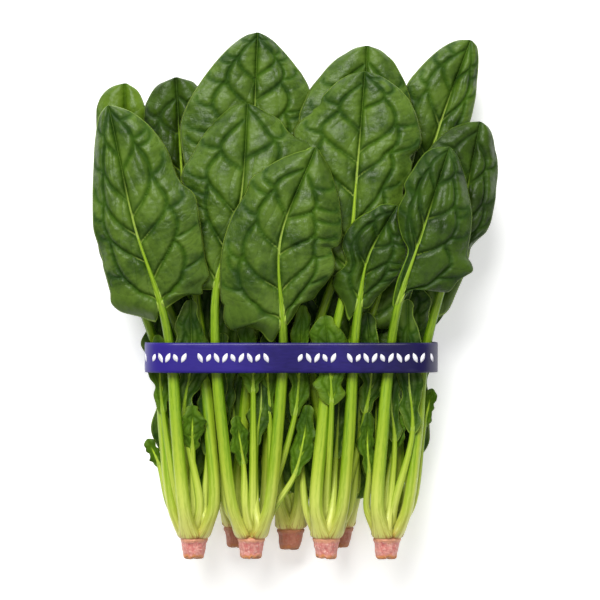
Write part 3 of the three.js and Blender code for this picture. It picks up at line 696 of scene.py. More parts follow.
def blade_tree():
    """Grows a blade on the bare lines of its midrib and veins.

    The midrib's points carry the frame and the widths of each row. The veins lie in the flat blade.
    """
    takes = {
        "Lines": "Geometry",
        "Columns": 61,
        "Gather": 1.3,
        "Length": 0.11,
        "Thickness": 0.0006,
        "Swell": 0.0015,
        "Cup": 0.004,
        "Ripple": 0.0012,
        "Waves": 14.0,
        "Pucker": 0.0018,
        "Pucker Reach": 0.003,
        "Fine Pucker": 0.0005,
        "Fine Reach": 0.0014,
        "Rumple": 0.0012,
        "Seed": 0.0,
        "Finish": "Material",
    }
    tree, take, end = new_tree("Leaf blade", "GeometryNodeTree", takes, {"Blade": "Geometry"})
    part = read(tree, "part")
    midrib = part_of(tree, take["Lines"], part < 0.5)
    side_veins = part_of(tree, take["Lines"], (part - 1.0).size() < 0.5)
    fine_veins = part_of(tree, take["Lines"], part > 1.5)

    rows = term(tree, "GeometryNodeAttributeDomainSize", {"Geometry": midrib}, "Point Count")
    wires = {"Size X": 2.0, "Size Y": 1.0, "Vertices X": take["Columns"], "Vertices Y": rows}
    sheet = term(tree, "GeometryNodeMeshGrid", wires, "Mesh")
    x, y, _ = term(tree, "GeometryNodeInputPosition").parts()
    row = ((y + 0.5) * (rows - 1.0)).rounded()

    def of_row(name, kind="FLOAT"):
        wires = {"Geometry": midrib, "Value": read(tree, name, kind), "Index": row}
        return term(tree, "GeometryNodeSampleIndex", wires, data_type=kind, clamp=True)

    def of_side(left, right):
        left, right = of_row(left), of_row(right)
        return left + (right - left) * on_right

    edge = x.size() ** take["Gather"]
    v = edge * x.sign()
    on_right = x > 0.0
    half, ear = of_side("left", "right"), of_side("left_ear", "right_ear")
    share = of_row("share")
    flat = vector_of(tree, v * half, share * take["Length"], 0.0)
    far, near = distance_to(tree, side_veins, flat), distance_to(tree, fine_veins, flat)

    full = (half / 0.012).least(1.0)
    spread = flat + vector_of(tree, take["Seed"] * 0.37, take["Seed"] * 0.53, 0.0)
    broad = noise(tree, spread, 28.0, 1.0) - 0.5
    small = noise(tree, spread, 120.0, 2.0) - 0.5
    swell = take["Swell"] * (edge * pi).sine()
    droop = take["Cup"] * edge**2.0
    phase = share * take["Waves"] + take["Seed"] + on_right * 1.3
    wave = take["Ripple"] * edge**3.0 * (phase.sine() + (phase * 2.7).sine() * 0.35)
    valley = 1.0 - ((far / take["Pucker Reach"]) ** 1.1 * -1.0).power_of_e()
    crease = 1.0 - ((near / take["Fine Reach"]) * -1.0).power_of_e()
    inner = edge.step(1.0, 0.55) * (share.step(1.0, 0.72) * 0.75 + 0.25)
    uneven = noise(tree, spread, 60.0, 1.0) * 1.2 + 0.4
    pucker = take["Pucker"] * (valley - 0.75) * uneven + take["Fine Pucker"] * (crease - 0.75)
    rumple = broad * (edge * 2.0 + 0.4) + small * 0.4 * edge.step(0.1, 0.8)
    rumple = take["Rumple"] * rumple * edge.step(1.25, 0.8)
    rise = (v * half / of_row("rib_wide")).size()
    rib = of_row("rib_high") * (1.0 - rise.least(1.0) ** 2.0).most(0.0).root()
    lift = (swell - droop + wave + pucker * inner + rumple) * full + rib

    side, out, along, place = (of_row(name, "FLOAT_VECTOR") for name in ("side", "out", "along", "place"))
    place = place + side * (v * half) - along * (ear * edge**1.5)
    thin = take["Thickness"] * (1.0 - edge**8.0) * of_row("thick")

    sheet = keep_vector(tree, sheet, "flat", v * half, share * take["Length"], v)
    sheet = keep_vector(tree, sheet, "lines", far, near, share)
    sheet = keep(tree, sheet, "rib", rise)
    sheet = keep_map(tree, sheet, (v + 1.0) * 0.5, share)
    upper = placed(tree, keep(tree, sheet, "upper", 1.0), place + out * lift)
    lower = placed(tree, keep(tree, sheet, "upper", 0.0), place + out * (lift - thin))
    finished(tree, end, welded(tree, upper, flipped(tree, lower)), take["Finish"])
    return tree


def stalk_tree():
    """Sweeps a ribbed oval along each of a plant's bare lines, whose points carry the frame and the girth."""
    takes = {
        "Lines": "Geometry",
        "Sides": 40,
        "Ribs": 7.0,
        "Rib Depth": 0.035,
        "Chips": 0.0,
        "Lumps": 0.0003,
        "Lump Size": 120.0,
        "Finish": "Material",
    }
    tree, take, end = new_tree("Ribbed stalks", "GeometryNodeTree", takes, {"Stalks": "Geometry"})
    path = term(tree, "GeometryNodeMeshToCurve", {"Mesh": take["Lines"]})
    wires = {"Resolution": take["Sides"], "Radius": MM}
    ring = term(tree, "GeometryNodeCurvePrimitiveCircle", wires, "Curve")
    turned = keep(tree, ring, "round", term(tree, "GeometryNodeInputIndex") / take["Sides"] * (2 * pi))
    wires = {"Curve": path, "Profile Curve": turned, "Fill Caps": True}
    skin = term(tree, "GeometryNodeCurveToMesh", wires)

    angle, share, seed = read(tree, "round"), read(tree, "share"), read(tree, "seed")
    side, out, place = (read_vector(tree, name) for name in ("side", "out", "place"))
    sine, cosine = angle.sine(), angle.cosine()
    ridge = (angle * take["Ribs"] * 0.5 + seed).sine().size() ** 0.6 * 2.0 - 1.0
    ridge = ridge * 0.8 + (angle * take["Ribs"] * 1.5 + seed).cosine() * 0.2
    girth = 1.0 + take["Rib Depth"] * read(tree, "ribbed") * ridge
    lumps = (noise(tree, place + side * (sine * 0.004), take["Lump Size"]) - 0.5) * take["Lumps"]
    across = (read(tree, "wide") * girth + lumps) * sine * -1.0
    above = (read(tree, "deep") * girth + lumps) * cosine * -1.0
    around = vector_of(tree, cosine * 1.2, sine * 1.2, seed)
    chip = (noise(tree, around, 1.6, 3.0, 0.7) - 0.35).most(0.0) * take["Chips"] * read(tree, "cut")
    place = place + side * across + out * above + vector_of(tree, 0.0, chip, 0.0)

    skin = keep(tree, skin, "ridge", ridge)
    skin = keep(tree, skin, "climb", share)
    skin = keep_vector(tree, skin, "girdle", cosine, sine, share)
    skin = keep_map(tree, skin, angle / (2 * pi), share)
    finished(tree, end, placed(tree, skin, place), take["Finish"])
    return tree


def marks_tree():
    """Sets small flat shapes on the points of a bare line, each one turned to lie on the band."""
    takes = {
        "Lines": "Geometry",
        "Long": 0.006,
        "Broad": 0.0026,
        "Thickness": 0.00012,
        "Lean": 0.45,
        "Finish": "Material",
    }
    tree, take, end = new_tree("Marks on the band", "GeometryNodeTree", takes, {"Marks": "Geometry"})
    ring = term(tree, "GeometryNodeMeshCircle", {"Vertices": 24, "Radius": 0.5}, fill_type="NGON")
    x, y, _ = term(tree, "GeometryNodeInputPosition").parts()
    narrow = 1.0 - (y * 2.0).size() ** 2.0
    flat = vector_of(tree, x.sign() * narrow * 0.5 * take["Broad"], y * take["Long"], 0.0)
    lens = placed(tree, ring, flat)
    wires = {"Mesh": lens, "Offset": UP, "Offset Scale": take["Thickness"]}
    front = term(tree, "GeometryNodeExtrudeMesh", wires, "Mesh", mode="FACES")
    lens = welded(tree, front, flipped(tree, lens))

    wires = {"Primary Axis": read_vector(tree, "out"), "Secondary Axis": read_vector(tree, "side")}
    turn = term(tree, "FunctionNodeAxesToRotation", wires, primary_axis="Z", secondary_axis="X")
    wires = {"Axis": UP, "Angle": read(tree, "lean") * take["Lean"]}
    lean = term(tree, "FunctionNodeAxisAngleToRotation", wires)
    wires = {"Rotation": turn, "Rotate By": lean}
    turn = term(tree, "FunctionNodeRotateRotation", wires, rotation_space="LOCAL")
    tall = vector_of(tree, 1.0, read(tree, "tall"), 1.0)
    wires = {"Points": take["Lines"], "Instance": lens, "Rotation": turn, "Scale": tall}
    finished(tree, end, term(tree, "GeometryNodeInstanceOnPoints", wires), take["Finish"])
    return tree


# ---- Growing a piece ----------------------------------------------------------------------------


def bare_lines(name, paths, values):
    """A mesh of bare lines through points. Each column of values has an entry for each point, path by path."""
    points = [p for path in paths for p in path]
    edges, first = [], 0
    for path in paths:
        edges += [(first + i, first + i + 1) for i in range(len(path) - 1)]
        first += len(path)
    mesh = bpy.data.meshes.new(name)
    mesh.from_pydata(points, edges, [])
    for label, column in values.items():
        if isinstance(column[0], Vector):
            kept = mesh.attributes.new(label, "FLOAT_VECTOR", "POINT")
            kept.data.foreach_set("vector", [c for p in column for c in p])
        else:
            kept = mesh.attributes.new(label, "FLOAT", "POINT")
            kept.data.foreach_set("value", list(column))
    return mesh


def in_metres(columns):
    return {label: [value * MM for value in column] for label, column in columns.items()}


def grown(name, tree, lines, sizes):
    """The piece that a tree grows on bare lines, as a plain mesh."""
    piece = bpy.data.objects.new(name, lines)
    bpy.context.scene.collection.objects.link(piece)
    growth = piece.modifiers.new("growth", "NODES")
    growth.node_group = tree
    known = {item.name: item.identifier for item in tree.interface.items_tree if item.in_out == "INPUT"}
    for label, value in sizes.items():
        growth[known[label]] = value
    graph = bpy.context.evaluated_depsgraph_get()
    mesh = bpy.data.meshes.new_from_object(piece.evaluated_get(graph), depsgraph=graph)
    piece.modifiers.remove(growth)
    piece.data = mesh
    mesh.name = name
    return piece


# ---- Blades -------------------------------------------------------------------------------------

# The rib on a blade's upper side: share of the length, height, half-width.
RIB = (
    (0, 0.9, 2.3), (0.03, 1.8, 2.1), (0.12, 1.5, 1.5), (0.25, 1.1, 1.05), (0.42, 0.65, 0.75),
    (0.6, 0.25, 0.55), (0.72, 0, 0.5), (1, 0, 0.5),
)
MIDRIB_STEPS = 20


def blade_lines(name, leaf, cell, chance):
    """The bare lines that a blade is grown on, and its number of columns."""
    rows = round(leaf.length / cell)
    shares = [k - 0.35 * sin(2 * pi * k) / (2 * pi) for k in (i / rows for i in range(rows + 1))]
    (left, left_ear), (right, right_ear) = (zip(*(leaf.edge(side, s) for s in shares)) for side in SIDES)
    columns = 2 * round((max(left) + max(right)) / cell / 2) + 1
    place, along, side, out = zip(*(leaf.frame(mixed(leaf.start, 1, s)) for s in shares))
    rib = [read_off(RIB, s) for s in shares]
    values = in_metres({
        "place": place,
        "left": left,
        "right": right,
        "left_ear": left_ear,
        "right_ear": right_ear,
        "rib_high": [high * leaf.girth for high, _ in rib],
        "rib_wide": [wide * leaf.girth for _, wide in rib],
    })
    values |= {"along": along, "side": side, "out": out, "share": shares}
    values["thick"] = [0.0, *[1.0] * (rows - 1), 0.0]

    def flat(x, s):
        return Vector((x * leaf.edge(-1 if x < 0 else 1, s)[0] * MM, s * (leaf.length * MM), 0))

    side_veins, fine_veins = vein_lines(leaf, chance)
    side_veins.insert(0, [(0, i / MIDRIB_STEPS) for i in range(MIDRIB_STEPS + 1)])
    paths = [values["place"]] + [[flat(*p) for p in vein] for vein in side_veins + fine_veins]
    rest = sum(len(path) for path in paths[1:])
    for label, column in values.items():
        values[label] = [*column, *[Vector() if isinstance(column[0], Vector) else 0.0] * rest]
    counts = (len(shares), sum(map(len, side_veins)), sum(map(len, fine_veins)))
    values["part"] = [part for part, count in zip((0.0, 1.0, 2.0), counts) for _ in range(count)]
    return bare_lines(name, paths, values), columns


# ---- Stalks, crowns and roots -------------------------------------------------------------------

# Along a stalk: share of the way to the blade, and from 1 on 1 more than the share of the blade, then the
# half-width and the half-thickness.
STALK = (
    (0, 4.2, 1.9), (0.03, 6.2, 2.7), (0.06, 6.9, 3), (0.125, 6.2, 3.2), (0.2, 5.3, 3.3),
    (0.29, 4.5, 3.2), (0.37, 4.1, 3.1), (0.5, 3.7, 3), (0.75, 3.2, 2.7), (0.88, 2.6, 2.3),
    (1, 2.3, 2), (1.04, 2.1, 1.8), (1.12, 1.6, 1.5), (1.25, 1.1, 1.2), (1.42, 0.45, 0.5),
)
STALK_STEPS = {"large": 46, "small": 30}
# A crown and a root: distance above the root's top, radius.
CROWN = ((-0.8, 5), (0, 7), (0.8, 7.3), (1.6, 6.6), (2.4, 4.5), (2.8, 1))
ROOT = (
    (-12.3, 1.5), (-12.15, 4.6), (-11.7, 5.6), (-10.8, 6), (-9, 6.2), (-6, 6.6), (-3.8, 7), (-2.9, 7.1),
    (-2.3, 7.4), (-1.2, 7.8), (-0.3, 7.8), (0.4, 7.2), (0.8, 5),
)
CLIMB = 110  # how far above the root's top a stalk's share reads 1, about at the band
LEANS_FROM = 3  # how far below its top a root starts to lean
TRIMMED = (7, 12)  # between which depths the cut at a root's foot sets in


def stalk_values(leaf):
    """The points of one stalk, and the values that they carry."""
    to = mixed(leaf.start, 1, 0.42)
    count = STALK_STEPS["large" if leaf.large else "small"]
    rows = []
    for i in range(count + 1):
        t = to * i / count
        place, _, side, out = leaf.frame(t)
        share = t / leaf.start if t < leaf.start else 1 + (t - leaf.start) / (1 - leaf.start)
        wide, deep = (v * leaf.girth for v in read_off(STALK, share))
        sunk = 0.15 + 0.4 * smooth(share, 1.28, 1.42)
        top = leaf.girth * (read_off(RIB, share - 1)[0] - sunk if share > 1.03 else 1.75)
        dip = (deep - top) * smooth(share, 0.85, 1)
        ribbed = 1 - 0.7 * smooth(share, 0.8, 1.1)
        rows.append((place - out * dip, side, out, wide, deep, ribbed, 0.0))
    return rows


def turned_values(plant, profile, lean=Vector((0, 0, 0))):
    """The points along a plant's axis, and the values that they carry, for a shape turned about it."""
    at, right = Vector(PLANTS[plant][0]), Vector((1, 0, 0))
    rows = []
    for up, radius in profile:
        place = at + Vector((0, up, 0)) + lean * max(-up - LEANS_FROM, 0)
        rows.append((place, right, UP, radius, radius, 1.0, smooth(-up, *TRIMMED)))
    return rows


def filled(profile, step):
    """A profile with more rows, no further apart than step."""
    low, high = profile[0][0], profile[-1][0]
    even = {round(low + i * step, 3) for i in range(int((high - low) / step) + 1)}
    return [[x, *read_off(profile, x)] for x in sorted(even | {row[0] for row in profile})]


def swept_lines(name, plant, paths, chance):
    """The bare lines that a plant's stalks, or its root, are swept along."""
    root_top = PLANTS[plant][0][1]
    place, side, out, wide, deep, ribbed, cut = zip(*(row for path in paths for row in path))
    values = in_metres({"place": place, "wide": wide, "deep": deep})
    values |= {"side": side, "out": out, "ribbed": ribbed, "cut": cut}
    values["share"] = [(p.y - root_top) / CLIMB for p in place]
    values["seed"] = [seed for path in paths for seed in [chance.uniform(0, 6)] * len(path)]
    return bare_lines(name, [[row[0] * MM for row in path] for path in paths], values)


# ---- The band -----------------------------------------------------------------------------------

BAND = {"width": 168, "height": 58, "deep": 17, "wall": 1, "corner": 20, "rows": 12, "step": 2.0, "rim": 0.12}


def band_outline(step):
    """Points round the band, from the middle of its underside to the right and up, each with the way out."""
    radius, top = BAND["corner"], BAND["height"]
    x, low, high = BAND["width"] / 2 - radius, radius, top - radius
    points = []

    def straight(start, way, out, length):
        count = max(1, round(length / step))
        for far in (length * i / count for i in range(count)):
            points.append((start[0] + way[0] * far, start[1] + way[1] * far, out))

    def bend(centre_x, centre_z, first):
        count = max(1, round(pi * radius / 2 / step))
        for turn in (radians(first + 90 * i / count) for i in range(count)):
            a, b = cos(turn), sin(turn)
            points.append((centre_x + radius * a, centre_z + radius * b, (a, b)))

    straight((0, 0), (1, 0), (0, -1), x)
    bend(x, low, -90)
    straight((x + radius, low), (0, 1), (1, 0), high - low)
    bend(x, high, 0)
    straight((x, top), (-1, 0), (0, 1), 2 * x)
    bend(-x, high, 90)
    straight((-x - radius, high), (0, -1), (-1, 0), high - low)
    bend(-x, low, 180)
    straight((-x, 0), (1, 0), (0, -1), x)
    return points


def dented(x, y, z, a, b, proud):
    """A place on the band's outer face, so far proud of it. The film gives a little between the stalks."""
    dent = 0.16 * (1 + sin(x * 0.13 + z * 0.3 + 1))
    dent += 0.12 * (1 + sin(x * 0.31 - y * 0.12)) * abs(a * 0.4 + b)
    dent -= proud
    return Vector((x - a * dent, y, z - b * dent)) * MM


def band_mesh():
    """The band as a closed loop of thin sheet, a little uneven where the stalks press on it."""
    loops, rows, outline = [], BAND["rows"], band_outline(BAND["step"])
    for inset, order in ((0, range(rows + 1)), (BAND["wall"], range(rows, -1, -1))):
        for row in order:
            y = BAND["deep"] * (row / rows - 0.5)
            rim = BAND["rim"] if row in (0, rows) else 0
            sunk = inset - rim if inset else rim
            loops.append([dented(x, y, z, a, b, -sunk) for x, z, (a, b) in outline])
    around, count = len(outline), len(loops)
    faces = []
    for r in range(count):
        for i in range(around):
            here, there = r * around, (r + 1) % count * around
            after = (i + 1) % around
            faces.append((here + i, there + i, there + after, here + after))
    mesh = bpy.data.meshes.new("band")
    mesh.from_pydata([p for loop in loops for p in loop], [], faces)
    mesh.polygons.foreach_set("use_smooth", [True] * len(mesh.polygons))
    return mesh


# The marks: how far apart they are, each group as (its start, marks before a gap, marks after it), how many
# marks a gap is long, the places of two more round the bends, and how far the marks are proud of the film.
MARKS = {"pitch": 4.65, "groups": [(-79.0, 5, 9), (5.5, 5, 10)], "gap": 1, "wrap": (-88, 83), "proud": 0.02}
FINE_STEP = 0.25  # how closely the outline is followed to find the places of the marks


def mark_lines():
    """A point for each mark on the band: two rows of little leaf shapes with a gap, and one on each side."""
    top = [p for p in band_outline(FINE_STEP) if p[1] > BAND["corner"]]
    lengths = [0.0]
    for p, q in zip(top, top[1:]):
        lengths.append(lengths[-1] + sqrt((q[0] - p[0]) ** 2 + (q[1] - p[1]) ** 2))
    wanted = []
    for start, first, second in MARKS["groups"]:
        for i in range(first + second):
            far = start + (i + (MARKS["gap"] if i >= first else 0)) * MARKS["pitch"]
            wanted.append((far, 1.0 if i % 2 else -1.0, 1.0 if i % 3 else 0.8))
    wanted += [(far, 1.0, 0.9) for far in MARKS["wrap"]]
    points, middle = [], lengths[-1] / 2
    values = {"out": [], "side": [], "lean": [], "tall": []}
    for far, lean, tall in wanted:
        x, z, (a, b) = top[min(range(len(top)), key=lambda i: abs(middle - lengths[i] - far))]
        points.append(dented(x, 0, z, a, b, MARKS["proud"]))
        for column, value in zip(values.values(), (Vector((a, 0, b)), Vector((b, 0, -a)), lean, tall)):
            column.append(value)
    return bare_lines("marks", [[p] for p in points], values)


# ---- Finishes -----------------------------------------------------------------------------------


def paint(code):
    """A colour in linear light from its usual six-letter code."""
    parts = [int(code[i : i + 2], 16) / 255 for i in (0, 2, 4)]
    return (*(c / 12.92 if c < 0.04045 else ((c + 0.055) / 1.055) ** 2.4 for c in parts), 1.0)


def carried(tree, name):
    """A value that the surface carries, as (number, vector)."""
    node = add_node(tree, "ShaderNodeAttribute", attribute_name=name)
    return Term(node.outputs["Fac"]), Term(node.outputs["Vector"])


def place_on(tree):
    """Where on its piece a point of the surface is."""
    return term(tree, "ShaderNodeTexCoord", (), "Object")


def blend(tree, below, above, share):
    """One colour over another. Each is a code or a socket."""
    node = add_node(tree, "ShaderNodeMix", data_type="RGBA")
    for name, value in (("Factor", share), ("A", below), ("B", above)):
        feed(paint(value) if isinstance(value, str) else value, plug(node.inputs, name))
    return plug(node.outputs, "Result")


def layered(tree, colour, *layers):
    """A colour with others over it, each given with its share."""
    for above, share in layers:
        colour = blend(tree, colour, above, share)
    return colour


def ramp(tree, factor, *stops):
    node = add_node(tree, "ShaderNodeValToRGB", {"Fac": factor})
    points = node.color_ramp.elements
    while len(points) < len(stops):
        points.new(0.5)
    for point, (place, code) in zip(points, stops):
        point.position, point.color = place, paint(code)
    return node.outputs["Color"]


def new_finish(name):
    """A material with its shader, ready for wires."""
    material = bpy.data.materials.new(name)
    material.use_nodes = True
    return material, material.node_tree, material.node_tree.nodes["Principled BSDF"]


def cover(shader, colour, roughness, height, distance, strength):
    """Feeds a shader its colour, its roughness, and a relief of that height, distance and strength."""
    wires = {"Height": height, "Distance": distance, "Strength": strength}
    feed(colour, shader.inputs["Base Color"])
    feed(roughness, shader.inputs["Roughness"])
    feed(term(shader.id_data, "ShaderNodeBump", wires), shader.inputs["Normal"])


def leaf_surface():
    """Where a blade's veins, margin and rib are, how mottled it is, and its fine relief."""
    takes = {
        "Vein Width": 0.0004,
        "Pillow Width": 0.006,
        "Margin Width": 0.0008,
        "Mottle Size": 70.0,
        "Cell Size": 700.0,
    }
    gives = (
        "Vein", "Crease", "Fine Vein", "Pale", "Margin", "Mottle",
        "Pillow", "Rib", "Upper", "Climb", "Height",
    )
    tree, take, end = new_tree("Leaf surface", "ShaderNodeTree", takes, dict.fromkeys(gives, "Float"))
    x, y, v = carried(tree, "flat")[1].parts()
    far, near, share = carried(tree, "lines")[1].parts()
    rise, upper = carried(tree, "rib")[0], carried(tree, "upper")[0]
    edge, width, margin = v.size(), take["Vein Width"], take["Margin Width"]
    where = vector_of(tree, x, y, upper * 0.05)
    wobble = (noise(tree, where, 260.0, 1.0) - 0.5) * 0.0006
    wires = {"Vector": where, "Scale": take["Cell Size"]}
    cells = term(tree, "ShaderNodeTexVoronoi", wires, "Distance", feature="DISTANCE_TO_EDGE")
    grain = noise(tree, where, 1500.0, 2.0)
    crinkle = noise(tree, where, 230.0, 1.0)
    vein, fine = far + wobble, near + wobble
    relief = cells.least(0.12) * 3.0 + grain * 0.3 + crinkle * (far.step(0.008, 0.0012) * 4.0 + 5.0)
    values = (
        vein.step(width * 1.7, width * 0.5),
        vein.step(width * 2.2, width * 0.4) * share.step(1.0, 0.85) * edge.step(1.05, 0.7),
        fine.step(width, width * 0.3),
        edge.step(0.34, 0.02) * share.step(0.8, 0.2),
        ((1.0 - edge) * x.size() / edge.most(0.05)).step(margin, margin * 0.35),
        noise(tree, where, take["Mottle Size"], 4.0, 0.6),
        far.step(0.0003, take["Pillow Width"]),
        rise.step(1.05, 0.85) * share.step(0.74, 0.5),
        upper,
        share,
        relief - fine.step(0.0008, 0.0001) * 0.6 - vein.step(0.001, 0.0001) * 1.2,
    )
    for name, value in zip(gives, values):
        feed(value, end.inputs[name])
    return tree


def leaf_finish(name, surface, colours, rough=0.36, pillow=0.0024, edge=0.0008):
    """A leaf blade: mottled green, a painted sheen on its pillows and painted shade along its creases, pale
    veins and margin, and a dull underside.
    """
    material, tree, shader = new_finish(name)
    deep, flesh, painted_sheen, vein, margin, under = colours
    wires = {"Pillow Width": pillow, "Margin Width": edge}
    out = {s.name: Term(s) for s in add_node(tree, "ShaderNodeGroup", wires, node_tree=surface).outputs}
    colour = layered(
        tree,
        blend(tree, deep, flesh, out["Mottle"].step(0.3, 0.68)),
        # Painted sheen: a paler, greyer green on the pillows between the creases, in patches, where the soft
        # highlight would lie.
        (painted_sheen, out["Pillow"] * out["Mottle"].step(0.15, 0.75) * 0.45),
        # Painted shade: darker green along the fine veins and along the side-vein creases, where shade falls
        # in the hollows.
        (deep, out["Fine Vein"] * 0.3),
        ("1a3600", out["Crease"] * (1.0 - out["Pale"] * 0.7) * 0.3),
        (vein, out["Vein"] * out["Pale"] * 0.8),
        (margin, out["Margin"] * 0.75),
        (blend(tree, "94ae42", vein, out["Climb"].step(0.0, 0.6)), out["Rib"]),
    )
    colour = blend(tree, under, colour, out["Upper"].step(0.3, 0.6))
    rough = rough + 0.2 * (1.0 - out["Pillow"]) + 0.4 * out["Crease"] + (out["Mottle"] - 0.5) * 0.2
    cover(shader, colour, rough, out["Height"], 0.0002, 0.6)
    shader.inputs["Specular IOR Level"].default_value = 0.23
    return material


def plant_grain():
    """Fine streaks that run along a stalk or a root, from its own round-and-along place."""
    takes = {"Streaks": 9.0, "Length": 2.2, "Speck Size": 500.0}
    gives = ("Streak", "Speck", "Height")
    tree, take, end = new_tree("Plant grain", "ShaderNodeTree", takes, dict.fromkeys(gives, "Float"))
    x, y, along = carried(tree, "girdle")[1].parts()
    where = vector_of(tree, x, y, along * take["Length"])
    streak = noise(tree, where, take["Streaks"], 3.0, 0.6)
    speck = noise(tree, place_on(tree), take["Speck Size"], 3.0, 0.6)
    for name, value in zip(gives, (streak, speck, streak * 0.7 + speck * 0.3)):
        feed(value, end.inputs[name])
    return tree


STALK_RIDGES = (
    (0.0, "d5c36c"), (0.012, "d6d574"), (0.10, "ccd664"), (0.22, "aec03c"),
    (0.4, "8fac22"), (0.6, "86a81a"), (0.78, "8bac20"), (1.0, "9ebb30"),
)
# The darker colours, put in the grooves and on each stalk's flanks as painted shade, and along the stalk's own
# streaks.
STALK_GROOVES = (
    (0.0, "a57c34"), (0.015, "b0ab48"), (0.10, "9db234"), (0.22, "789c12"),
    (0.4, "588204"), (0.6, "426c00"), (0.78, "4c7404"), (1.0, "6e9414"),
)


def stalk_finish(grain):
    material, tree, shader = new_finish("stalk")
    group = add_node(tree, "ShaderNodeGroup", node_tree=grain)
    streak, speck, height = (Term(s) for s in group.outputs)
    climb, ridge = carried(tree, "climb")[0], carried(tree, "ridge")[0]
    level = climb * 0.6 + (streak - 0.5) * 0.14
    # Painted shade: the darker groove colours go into the grooves and onto the flanks of each stalk; the
    # streaks are the stalk's own uneven colour.
    flank_shade = carried(tree, "girdle")[1].parts()[1].size().step(0.45, 0.95)
    raised = (ridge * 0.28 + 0.66 + (streak - 0.5) * 1.8 - flank_shade * 0.5).step(0.1, 0.95)
    colour = blend(tree, ramp(tree, level, *STALK_GROOVES), ramp(tree, level, *STALK_RIDGES), raised)
    lip = (climb + (speck - 0.5) * 0.03).step(0.022, 0.004)
    colour = blend(tree, colour, "b5813f", lip * 0.75)
    cover(shader, colour, 0.34 + (speck - 0.5) * 0.25 + lip * 0.2, height, 0.0004, 0.5)
    shader.inputs["Specular IOR Level"].default_value = 0.36
    return material


def root_finish(grain):
    material, tree, shader = new_finish("root")
    wires = {"Streaks": 4.0, "Length": 6.0, "Speck Size": 420.0}
    group = add_node(tree, "ShaderNodeGroup", wires, node_tree=grain)
    streak, speck, height = (Term(s) for s in group.outputs)
    climb = carried(tree, "climb")[0] * (CLIMB / -ROOT[0][0]) + 1.0
    place = place_on(tree)
    fleck = noise(tree, place, 900.0, 2.0)
    foot = (climb + (fleck - 0.5) * 0.4).step(0.08, 0.0) * 0.6
    underneath = place.parts()[2].step(0.036, 0.027)
    colour = layered(
        tree,
        blend(tree, "c4655f", "e3a193", (streak * 0.55 + speck * 0.45).step(0.3, 0.68)),
        ("f3d3c2", fleck.step(0.58, 0.7) * 0.55),
        ("d89a70", (climb + (speck - 0.5) * 0.3).step(0.78, 0.9) * 0.75),
        ("d58a48", (climb + (speck - 0.5) * 0.5).step(0.3, 0.06) * 0.9),
        ("8a4a26", foot + speck.step(0.68, 0.8) * 0.35),
        ("96572c", underneath * (0.35 + speck * 0.6)),
    )
    cover(shader, colour, 0.5 + (speck - 0.5) * 0.3, height + fleck * 0.3, 0.0016, 0.9)
    return material


def band_finish():
    """Printed film: violet-blue ink, a little uneven, with painted shade that darkens it towards the right,
    and fine creases.
    """
    material, tree, shader = new_finish("band film")
    place = place_on(tree)
    cloud = noise(tree, place, 24.0, 3.0)
    x, y, z = place.parts()
    fine = noise(tree, vector_of(tree, x * 0.25, y, z * 0.25), 900.0, 2.0)
    # Uneven ink from the noises, and painted shade from the x term: darker towards the right, away from the
    # light.
    colour = blend(tree, "0f0740", "2a1c7e", (cloud * 0.75 + fine * 0.25 - x * 3.2).step(0.15, 0.8))
    cover(shader, colour, 0.3 + cloud * 0.16 + (fine - 0.5) * 0.1, cloud * 0.6 + fine * 0.15, 0.0012, 0.35)
    shader.inputs["Specular IOR Level"].default_value = 0.35
    return material


def ink_finish():
    """White ink, with the film showing through where it is thin."""
    material, tree, shader = new_finish("white ink")
    thin = noise(tree, place_on(tree), 700.0, 3.0)
    colour = blend(tree, "f1f0f6", "bdb8dc", thin.step(0.55, 0.8))
    cover(shader, colour, 0.35 + thin * 0.2, thin, 0.0001, 0.3)
    return material


def floor_finish():
    material, tree, shader = new_finish("floor")
    place = place_on(tree)
    cloud = noise(tree, place, 3.0, 2.0)
    colour = blend(tree, "f7f7f6", "fbfbfa", cloud)
    cover(shader, colour, 0.75 + cloud * 0.1, noise(tree, place, 600.0, 2.0), 0.0002, 0.1)
    shader.inputs["Emission Color"].default_value = (1, 1, 1, 1)
    shader.inputs["Emission Strength"].default_value = 0.4
    return material


# ---- The bunch ----------------------------------------------------------------------------------

# Each green: the colours of its deep parts, flesh, painted sheen, veins, margin and underside.
GREENS = {
    "leaf": ("1b3900", "3a5b00", "6f8636", "92a848", "8fae3a", "4f7222"),
    "pale leaf": ("335200", "4a6a00", "6c822a", "92a848", "8cab35", "5a8428"),
    "dark leaf": ("162800", "294500", "4a6414", "7d9c24", "6d8c24", "41621c"),
    "deep leaf": ("152d00", "294800", "50681c", "84a034", "7ca028", "486a1c"),
    "bright leaf": ("2f4e00", "4b6e00", "748c24", "a3c030", "86a524", "568026"),
}
# Greens whose roughness, pillows and margin are unlike the others'.
LOOKS = {"bright leaf": {"rough": 0.42, "pillow": 0.004, "edge": 0.0005}}
BLADE_FINISH = {
    "back_far_left": "pale leaf",
    "back_left": "dark leaf",
    "outer_right": "dark leaf",
    "folded_right": "deep leaf",
    "front_right": "deep leaf",
    "a2": "leaf",
    "c3": "leaf",
    "d1": "leaf",
}
# How far apart the rows and the columns of a blade are.
CELLS = {"in sight": 0.9, "hidden": 1.8, "young": 0.75, "heart": 1.2}
STALK_SEED = 100  # keeps the plants' random draws apart from the leaves'
ROOT_LEAN = 0.07  # the most that a root leans sideways, for each millimetre down

surface, grain = leaf_surface(), plant_grain()
greens = {}
for name, colours in GREENS.items():
    greens[name] = leaf_finish(name, surface, colours, **LOOKS.get(name, {}))
leaves = {name: large_leaf(name) for name in LEAVES}
young = {name: small_leaf(*row) for name, row in YOUNG.items()}
heart = {name: small_leaf(*row) for name, row in HEART.items()}
leaf_growth, stalk_growth = blade_tree(), stalk_tree()

